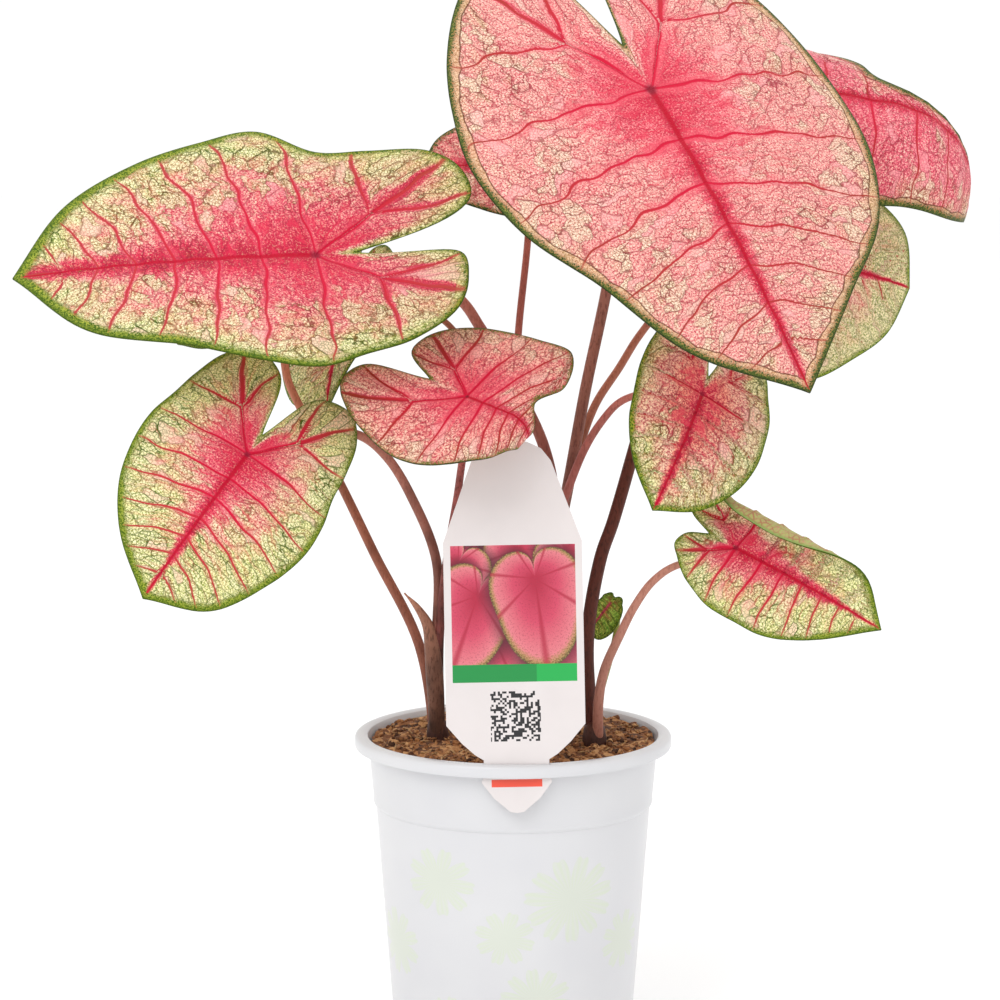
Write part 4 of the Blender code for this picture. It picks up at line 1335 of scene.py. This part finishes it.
def chip_material(name, dark, light):
    """Broken bark and root in the peat: dry and matt, streaked along its grain."""
    made, node, shader = new_material(name)
    place = node("TexCoord", output=3)
    grain = node("TexNoise", Vector=place, Scale=1 / (CHIP_GRAIN * MM), Detail=4.0, Roughness=0.7)
    colour = node("ValToRGB", grain, stops=((0.3, dark), (0.7, light)))
    connect(shader, {"Base Color": colour, "Roughness": 0.88})
    return made


def scattered(chance, edge, lift):
    """A random place on the peat within this radius, tilted and turned, at a random size."""
    reach = edge * math.sqrt(chance.random())
    angle = chance.uniform(0.0, math.tau)
    x, y = reach * math.cos(angle), reach * math.sin(angle)
    tilt = Matrix.Rotation(chance.uniform(-0.5, 0.5), 4, "X")
    tilt = tilt @ Matrix.Rotation(chance.uniform(-0.5, 0.5), 4, "Y")
    turn = Matrix.Rotation(chance.uniform(0.0, math.tau), 4, "Z")
    spot = Matrix.Translation((x * MM, y * MM, (soil_height(x, y) + 0.4 * lift) * MM))
    return spot @ (turn @ tilt) @ Matrix.Scale(chance.uniform(0.6, 1.35), 4)


def add_soil_bits(peat):
    """Crumbs, chips and fibres scattered over the peat, each kind modelled once and copied."""
    bark = chip_material("bark chips, dry", "#54331F", "#B87C4A")
    root = chip_material("root fibres, dry", "#8A6238", "#D0A878")
    kinds = (
        (soil_bit("crumb_fine", 0.55, (1.0, 0.85, 0.7), 1, peat), 9, 0.5),
        (soil_bit("crumb_broad", 0.85, (1.0, 0.9, 0.65), 2, peat), 6, 0.7),
        (soil_bit("crumb_lump", 1.4, (1.0, 0.8, 0.7), 3, peat, 2), 2, 0.9),
        (soil_bit("chip_broad", 1.6, (1.0, 0.5, 0.22), 4, bark), 2, 0.8),
        (soil_bit("chip_splinter", 2.4, (1.0, 0.16, 0.12), 5, root), 2, 0.8),
    )
    chance = random.Random(SOIL_SEED)
    edge = inner_wall(SOIL_EDGE_HEIGHT) - 2.2
    copies = []
    for bit, weight, lift in kinds:
        for _ in range(weight * BITS_A_WEIGHT):
            copy = bit.copy()
            copy.data = bit.data.copy()
            copy.data.transform(scattered(chance, edge, lift))
            bpy.context.collection.objects.link(copy)
            copies.append(copy)
        bpy.data.objects.remove(bit, do_unlink=True)
    start_piece()
    for copy in copies:
        copy.select_set(True)
    bpy.context.view_layer.objects.active = copies[0]
    bpy.ops.object.join()
    copies[0].name = "peat_bits"
    copies[0].data.shade_smooth()
    place_piece(copies[0], "peat")


# Pot


def turned_piece(name, profile, segments):
    """A closed turned piece, pulled ring by ring from its underside's middle round to its floor's middle."""
    start_piece()
    first_radius, first_height = profile[0]
    bpy.ops.mesh.primitive_circle_add(vertices=segments, radius=first_radius * MM, fill_type="TRIFAN")
    piece = open_mesh(name)
    bpy.ops.transform.translate(value=(0, 0, first_height * MM))
    bpy.ops.mesh.region_to_loop()
    for (radius, height), (next_radius, next_height) in zip(profile, profile[1:]):
        bpy.ops.mesh.extrude_edges_move()
        grown = next_radius / radius
        bpy.ops.transform.resize(value=(grown, grown, 1.0), center_override=(0, 0, 0))
        bpy.ops.transform.translate(value=(0, 0, (next_height - height) * MM))
    bpy.ops.mesh.edge_face_add()
    bpy.ops.mesh.poke()
    close_mesh()
    return piece


def cut_away(piece, cutter):
    cut = piece.modifiers.new("cut", "BOOLEAN")
    cut.operation = "DIFFERENCE"
    cut.object = cutter
    cut.solver = "EXACT"
    apply_modifiers(piece)
    bpy.data.objects.remove(cutter, do_unlink=True)


def pot_profile():
    """Radii and heights from the middle of the underside up the wall, round the rim and down to the floor."""
    under_rim = POT_HEIGHT - RIM_DEPTH
    flange = POT_HEIGHT - LIP_WALL
    lip = RIM_RADIUS - LIP_WALL
    outside = [
        (HUB_RADIUS, 0.0), (FOOT_RADIUS - 1.5, 0.0), (FOOT_RADIUS - 0.5, 0.4), (FOOT_RADIUS, 1.5),
        (STEP_RADIUS - STEP_DROP, STEP_HEIGHT - 1.4), (STEP_RADIUS, STEP_HEIGHT - 0.6),
        (STEP_RADIUS + 0.3, STEP_HEIGHT + 0.5), (STEP_RADIUS + 0.1, STEP_HEIGHT + 1.2),
    ]
    rim = [
        (BODY_TOP_RADIUS, flange - 0.8), (BODY_TOP_RADIUS + 0.5, flange), (lip - 0.6, flange),
        (lip, flange - 0.4), (lip, under_rim), (RIM_RADIUS - 0.3, under_rim), (RIM_RADIUS, under_rim + 0.7),
        *((RIM_RADIUS - inwards, POT_HEIGHT - down) for inwards, down in RIM_ROUNDING),
        (BODY_TOP_RADIUS + 1.2, POT_HEIGHT), (BODY_TOP_RADIUS + 0.2, POT_HEIGHT - 0.6),
    ]
    heights = (under_rim, STEP_HEIGHT + 0.5, STEP_HEIGHT - 1.4, BASE_WALL + 1.2)
    floor = [(inner_wall(BASE_WALL) - 1.2, BASE_WALL), (HUB_RADIUS, BASE_WALL)]
    return [*outside, *rim, *((inner_wall(height), height) for height in heights), *floor]


def add_pot():
    pot = turned_piece("pot_body", pot_profile(), POT_SEGMENTS)
    for k in range(DRAIN_HOLES):
        angle = math.tau * (k + 0.5) / DRAIN_HOLES
        start_piece()
        x, y = DRAIN_CIRCLE * MM * math.cos(angle), DRAIN_CIRCLE * MM * math.sin(angle)
        bpy.ops.mesh.primitive_cylinder_add(
            vertices=DRAIN_SIDES, radius=DRAIN_RADIUS * MM, depth=3 * BASE_WALL * MM,
            location=(x, y, BASE_WALL * MM / 2),
        )
        cut_away(pot, bpy.context.object)
    start_piece()
    bpy.ops.mesh.primitive_cube_add(size=1.0, location=SLOT_PLACE)
    slot = bpy.context.object
    slot.scale = (SLOT_WIDTH * MM, SLOT_DEPTH * MM, 3 * LIP_WALL * MM)
    cut_away(pot, slot)
    pot.data.materials.clear()
    pot.data.materials.append(pot_material())
    select_only(pot)
    bpy.ops.object.shade_smooth_by_angle(angle=SMOOTH_BELOW)
    place_piece(pot, "pot_plastic", "pot")


def blossom(node, across, up, centre, size, petals, turn):
    """Mask of one printed blossom with notched petals, round a centre in millimetres on the unrolled wall."""
    x = node("Math SUBTRACT", across, centre[0])
    y = node("Math SUBTRACT", up, centre[1])
    radius = node("VectorMath LENGTH", node("CombineXYZ", x, y), output=1)
    angle = node("Math ARCTAN2", y, x)
    half_turn = node("Math MULTIPLY_ADD", angle, petals / 2.0, turn)
    lobe = node("Math ABSOLUTE", node("Math COSINE", half_turn))
    notch = node("Math MULTIPLY", node("Math POWER", lobe, 9.0), -0.16 * size)
    reach = node("Math MULTIPLY_ADD", lobe, 0.55 * size, 0.45 * size)
    reach = node("Math ADD", reach, notch)
    inside_by = node("Math SUBTRACT", reach, radius)
    mask = node("MapRange", inside_by, 0.0, 0.3)
    streaks = node("Math SINE", node("Math MULTIPLY", angle, 37.0))
    depth = node("MapRange", streaks, -1.0, 1.0, 0.55, 1.0)
    return node("Math MULTIPLY", mask, depth)


# Each blossom's place on the unrolled wall, its radius, its petals and its turn
BLOSSOMS = (
    ((-26.0, 78.0), 15.0, 9, 0.4),
    ((-3.0, 58.0), 12.0, 8, 1.2),
    ((20.0, 72.0), 19.0, 11, 2.1),
    ((45.0, 52.0), 13.0, 9, 0.2),
    ((-50.0, 50.0), 15.0, 9, 1.7),
    ((8.0, 33.0), 15.0, 10, 0.9),
    ((-24.0, 24.0), 11.0, 8, 0.6),
    ((34.0, 18.0), 12.0, 9, 1.4),
)


# Size of the clouds in the white, in millimetres, and the plastic's refraction
POT_CLOUD = 33.33
POT_IOR = 1.49
# The print stops just below the step
PRINT_TOP = STEP_HEIGHT - 4.0


def pot_material():
    """Injection-moulded white polypropylene: smooth and softly glossy, with pale screen-printed blossoms."""
    made, node, shader = new_material("white polypropylene, injection moulded")
    place = node("TexCoord", output=3)
    cloud = node("TexNoise", Vector=place, Scale=1 / (POT_CLOUD * MM), Detail=2.0)
    colour = node("ValToRGB", cloud, stops=((0.3, "#D0D0D3"), (0.7, "#D5D5D7")))
    east = node("SeparateXYZ", place)
    front = node("Math MULTIPLY", node("SeparateXYZ", place, output=1), -1.0)
    up = node("Math MULTIPLY", node("SeparateXYZ", place, output=2), 1 / MM)
    across = node("Math MULTIPLY", node("Math ARCTAN2", east, front), FOOT_RADIUS)
    printed = 0.0
    for placed in BLOSSOMS:
        printed = node("Math MAXIMUM", blossom(node, across, up, *placed), printed)
    wall = node("MapRange", up, PRINT_TOP, PRINT_TOP + 0.6, 0.42, 0.0)
    printed = node("Math MULTIPLY", printed, wall)
    colour = node("Mix", printed, colour, "#C9D8AE")
    connect(shader, {"Base Color": colour, "Roughness": 0.3, "IOR": POT_IOR})
    return made


# Tag


def tag_matrix():
    """Takes a point of the flat tag, drawn in X and Y, to its place in the rim's slot."""
    neck = Matrix.Translation((0.0, -NECK_HEIGHT * MM, 0.0))
    upright = Matrix.Rotation(math.radians(90), 4, "X")
    turn = Matrix.Rotation(TAG_TILT, 4, "Y") @ Matrix.Rotation(TAG_LEAN, 4, "X")
    return Matrix.Translation(SLOT_PLACE) @ turn @ upright @ neck


def add_tag():
    left_edge = [(-x, z) for x, z in reversed(TAG_RIGHT_EDGE)]
    points = [(0.0, 0.0), *TAG_RIGHT_EDGE, (0.0, TAG_HEIGHT), *left_edge]
    start_piece()
    bpy.ops.mesh.primitive_circle_add(vertices=len(points), radius=1.0, fill_type="NGON")
    tag = bpy.context.object
    stored = tag.data.attributes.new("flat", "FLOAT_VECTOR", "POINT")
    for point, (x, z) in zip(tag.data.vertices, points):
        point.co = (x * MM, z * MM, TAG_THICKNESS * MM / 2)
        stored.data[point.index].vector = (x, z, 0.0)
    open_mesh("tag_sheet")
    close_mesh()
    solid = tag.modifiers.new("thickness", "SOLIDIFY")
    solid.thickness = TAG_THICKNESS * MM
    solid.offset = -1.0 if tag.data.polygons[0].normal.z > 0 else 1.0
    apply_modifiers(tag)
    # The third value is 0 on the printed front and 1 on the bare back
    stored = tag.data.attributes["flat"]
    for point in tag.data.vertices:
        if point.co.z < 0:
            stored.data[point.index].vector.z = 1.0
    tag.data.transform(tag_matrix())
    tag.data.materials.append(tag_material())
    place_piece(tag, "tag_plastic", "tag")


def between(node, value, low, high):
    """1 where the value lies between two limits in millimetres, else 0."""
    above = node("Math GREATER_THAN", value, low)
    below = node("Math LESS_THAN", value, high)
    return node("Math MULTIPLY", above, below)


def panel(node, across, up, box):
    """Mask of a rectangle (left, right, low, high) on the flat tag."""
    left, right, low, high = box
    inside_across = between(node, across, left, right)
    return node("Math MULTIPLY", inside_across, between(node, up, low, high))


def printed_leaf(node, across, up, below, place, size, turn):
    """A heart-shaped leaf printed over the colours below, its tip at this turn from straight down."""
    x = node("Math SUBTRACT", across, place[0])
    y = node("Math SUBTRACT", up, place[1])
    point = node("CombineXYZ", x, y)
    point = node("VectorRotate Z_AXIS", Vector=point, Angle=turn)
    x = node("SeparateXYZ", point)
    y = node("Math MULTIPLY", node("SeparateXYZ", point, output=1), -1.0)
    radius = node("VectorMath LENGTH", point, output=1)
    angle = node("Math ARCTAN2", x, y)
    lobe = node("Math COSINE", node("Math MULTIPLY", angle, 0.5))
    lobe = node("Math POWER", node("Math ABSOLUTE", lobe), 0.32)
    tip = node("Math MAXIMUM", node("Math COSINE", angle), 0.0)
    tip = node("Math POWER", tip, 5.0)
    reach = node("Math MULTIPLY", lobe, 0.58 * size)
    reach = node("Math MULTIPLY_ADD", tip, 0.42 * size, reach)
    share = node("Math DIVIDE", radius, reach)
    grain = node("TexNoise", Vector=point, Scale=1.6, Detail=4.0, Roughness=0.8)
    uneven = node("Math MULTIPLY_ADD", grain, 0.35, share)
    uneven = node("Math MULTIPLY", uneven, 0.75)
    stops = ((0.2, "#AE1A3C"), (0.5, "#CC4460"), (0.78, "#DC7C84"), (0.84, "#A88A50"), (0.88, "#34401A"))
    colour = node("ValToRGB", uneven, stops=stops)
    dots = node("MapRange", grain, 0.52, 0.6, 0.0, 0.55)
    colour = node("Mix", dots, colour, "#96183A")
    ribs = node("Math COSINE", node("Math MULTIPLY", angle, 3.5))
    ribs = node("Math POWER", node("Math ABSOLUTE", ribs), 40.0)
    rib = node("MapRange", ribs, 0.3, 1.0, 0.0, 0.8)
    colour = node("Mix", rib, colour, "#A81436")
    mask = node("Math LESS_THAN", share, 1.0)
    shadow = node("MapRange", share, 1.0, 1.3, 0.75, 0.0)
    below = node("Mix", shadow, below, "#4A0C20")
    return node("Mix", mask, below, colour)


# Left, right, low and high ends of what is printed on the flat tag, in millimetres
PICTURE = (-22.8, 22.8, 54.7, 98.4)
STRIP = (-22.8, 22.8, 48.2, 54.7)
STRIP_END = (8.0, 22.8, 48.2, 54.7)
CELLS = (-9.2, 9.2, 26.4, 44.8)
CELL = 0.8
TONGUE_STRIP = (-9.3, 9.3, 9.6, 12.4)

# Size of the clouds in the sheet's white, in millimetres
TAG_CLOUD = 16.67
# Each printed leaf's place, its size and its turn, the ones below first
PRINTED_LEAVES = (
    ((2.0, 97.0), 24.0, 0.3),
    ((-20.0, 92.0), 26.0, 0.5),
    ((19.0, 96.0), 25.0, -0.6),
    ((-8.0, 66.0), 22.0, -0.4),
    ((20.0, 72.0), 27.0, 0.25),
    ((-13.0, 80.0), 31.0, 0.35),
    ((8.0, 86.0), 33.0, -0.12),
)


def tag_material():
    """White styrene sheet, die cut and offset printed: satin and faintly warm, with a picture of leaves, a
    green strip and a block of random cells."""
    made, node, shader = new_material("white styrene sheet, die cut and printed")
    flat = node("Attribute", output=1, attribute_name="flat")
    across = node("SeparateXYZ", flat)
    up = node("SeparateXYZ", flat, output=1)
    cloud = node("TexNoise", Vector=node("TexCoord", output=3), Scale=1 / (TAG_CLOUD * MM))
    colour = node("ValToRGB", cloud, stops=((0.3, "#D8D1D0"), (0.7, "#DDD6D5")))
    shade = node("TexNoise", Vector=flat, Scale=0.3, Detail=3.0)
    picture = node("ValToRGB", shade, stops=((0.35, "#5A1628"), (0.55, "#A82848"), (0.7, "#7A3038")))
    for placed in PRINTED_LEAVES:
        picture = printed_leaf(node, across, up, picture, *placed)
    colour = node("Mix", panel(node, across, up, PICTURE), colour, picture)
    for box, ink in ((STRIP, "#0F8A3F"), (STRIP_END, "#17A84B"), (TONGUE_STRIP, "#E8503A")):
        colour = node("Mix", panel(node, across, up, box), colour, ink)
    cells = node("VectorMath DIVIDE", flat, (CELL, CELL, 1.0))
    cells = node("VectorMath FLOOR", cells)
    cells = node("TexWhiteNoise", Vector=cells, noise_dimensions="2D")
    black = node("Math GREATER_THAN", cells, 0.5)
    black = node("Math MULTIPLY", black, panel(node, across, up, CELLS))
    colour = node("Mix", black, colour, "#1E1E20")
    front = node("Math LESS_THAN", node("SeparateXYZ", flat, output=2), 0.5)
    colour = node("Mix", front, "#DFD9D8", colour)
    connect(shader, {"Base Color": colour, "Roughness": 0.38})
    return made


# Stage, in metres

FLOOR_SIZE = 12.0
BACKGROUND_STRENGTH = 1.03
# Name, place, power in watts and width of each light, which are all turned to the plant
LIGHTS = (
    ("key light", (-0.9, -1.6, 1.8), 15.0, 1.2),
    ("top light", (0.5, 0.2, 2.2), 5.0, 1.4),
)
LIT_PLACE = Vector((0, 0, 0.25))


def add_stage():
    start_piece()
    bpy.ops.mesh.primitive_plane_add(size=FLOOR_SIZE)
    floor = bpy.context.object
    floor.name = "floor"
    made, _, shader = new_material("matt white paper sweep")
    connect(shader, {"Base Color": "#FDFDFD", "Roughness": 0.9})
    floor.data.materials.append(made)
    world = bpy.data.worlds.new("studio")
    bpy.context.scene.world = world
    world.use_nodes = True
    connect(world.node_tree.nodes["Background"], {"Color": "#FFFFFF", "Strength": BACKGROUND_STRENGTH})
    for name, place, power, size in LIGHTS:
        bpy.ops.object.light_add(type="AREA", location=place)
        light = bpy.context.object
        light.name = name
        light.data.energy = power
        light.data.size = size
        light.rotation_euler = (LIT_PLACE - Vector(place)).to_track_quat("-Z", "Y").to_euler()
    bpy.context.scene.view_settings.view_transform = "Standard"


def dress_solid(name, made):
    """Gives a solid of the frame this material in place of its own."""
    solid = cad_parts[name]
    solid.data.materials.clear()
    solid.data.materials.append(made)


def main():
    add_camera()
    add_stage()
    add_pot()
    peat = peat_material()
    dress_solid("soil", peat)
    tuber = stalk_skin("tuber skin, corky", *TUBER_COLOURS)
    for side in CROWNS:
        dress_solid(f"tuber_{side}", tuber)
    add_soil_top(peat)
    add_soil_bits(peat)
    add_stalks()
    add_leaves()
    add_tag()


main()
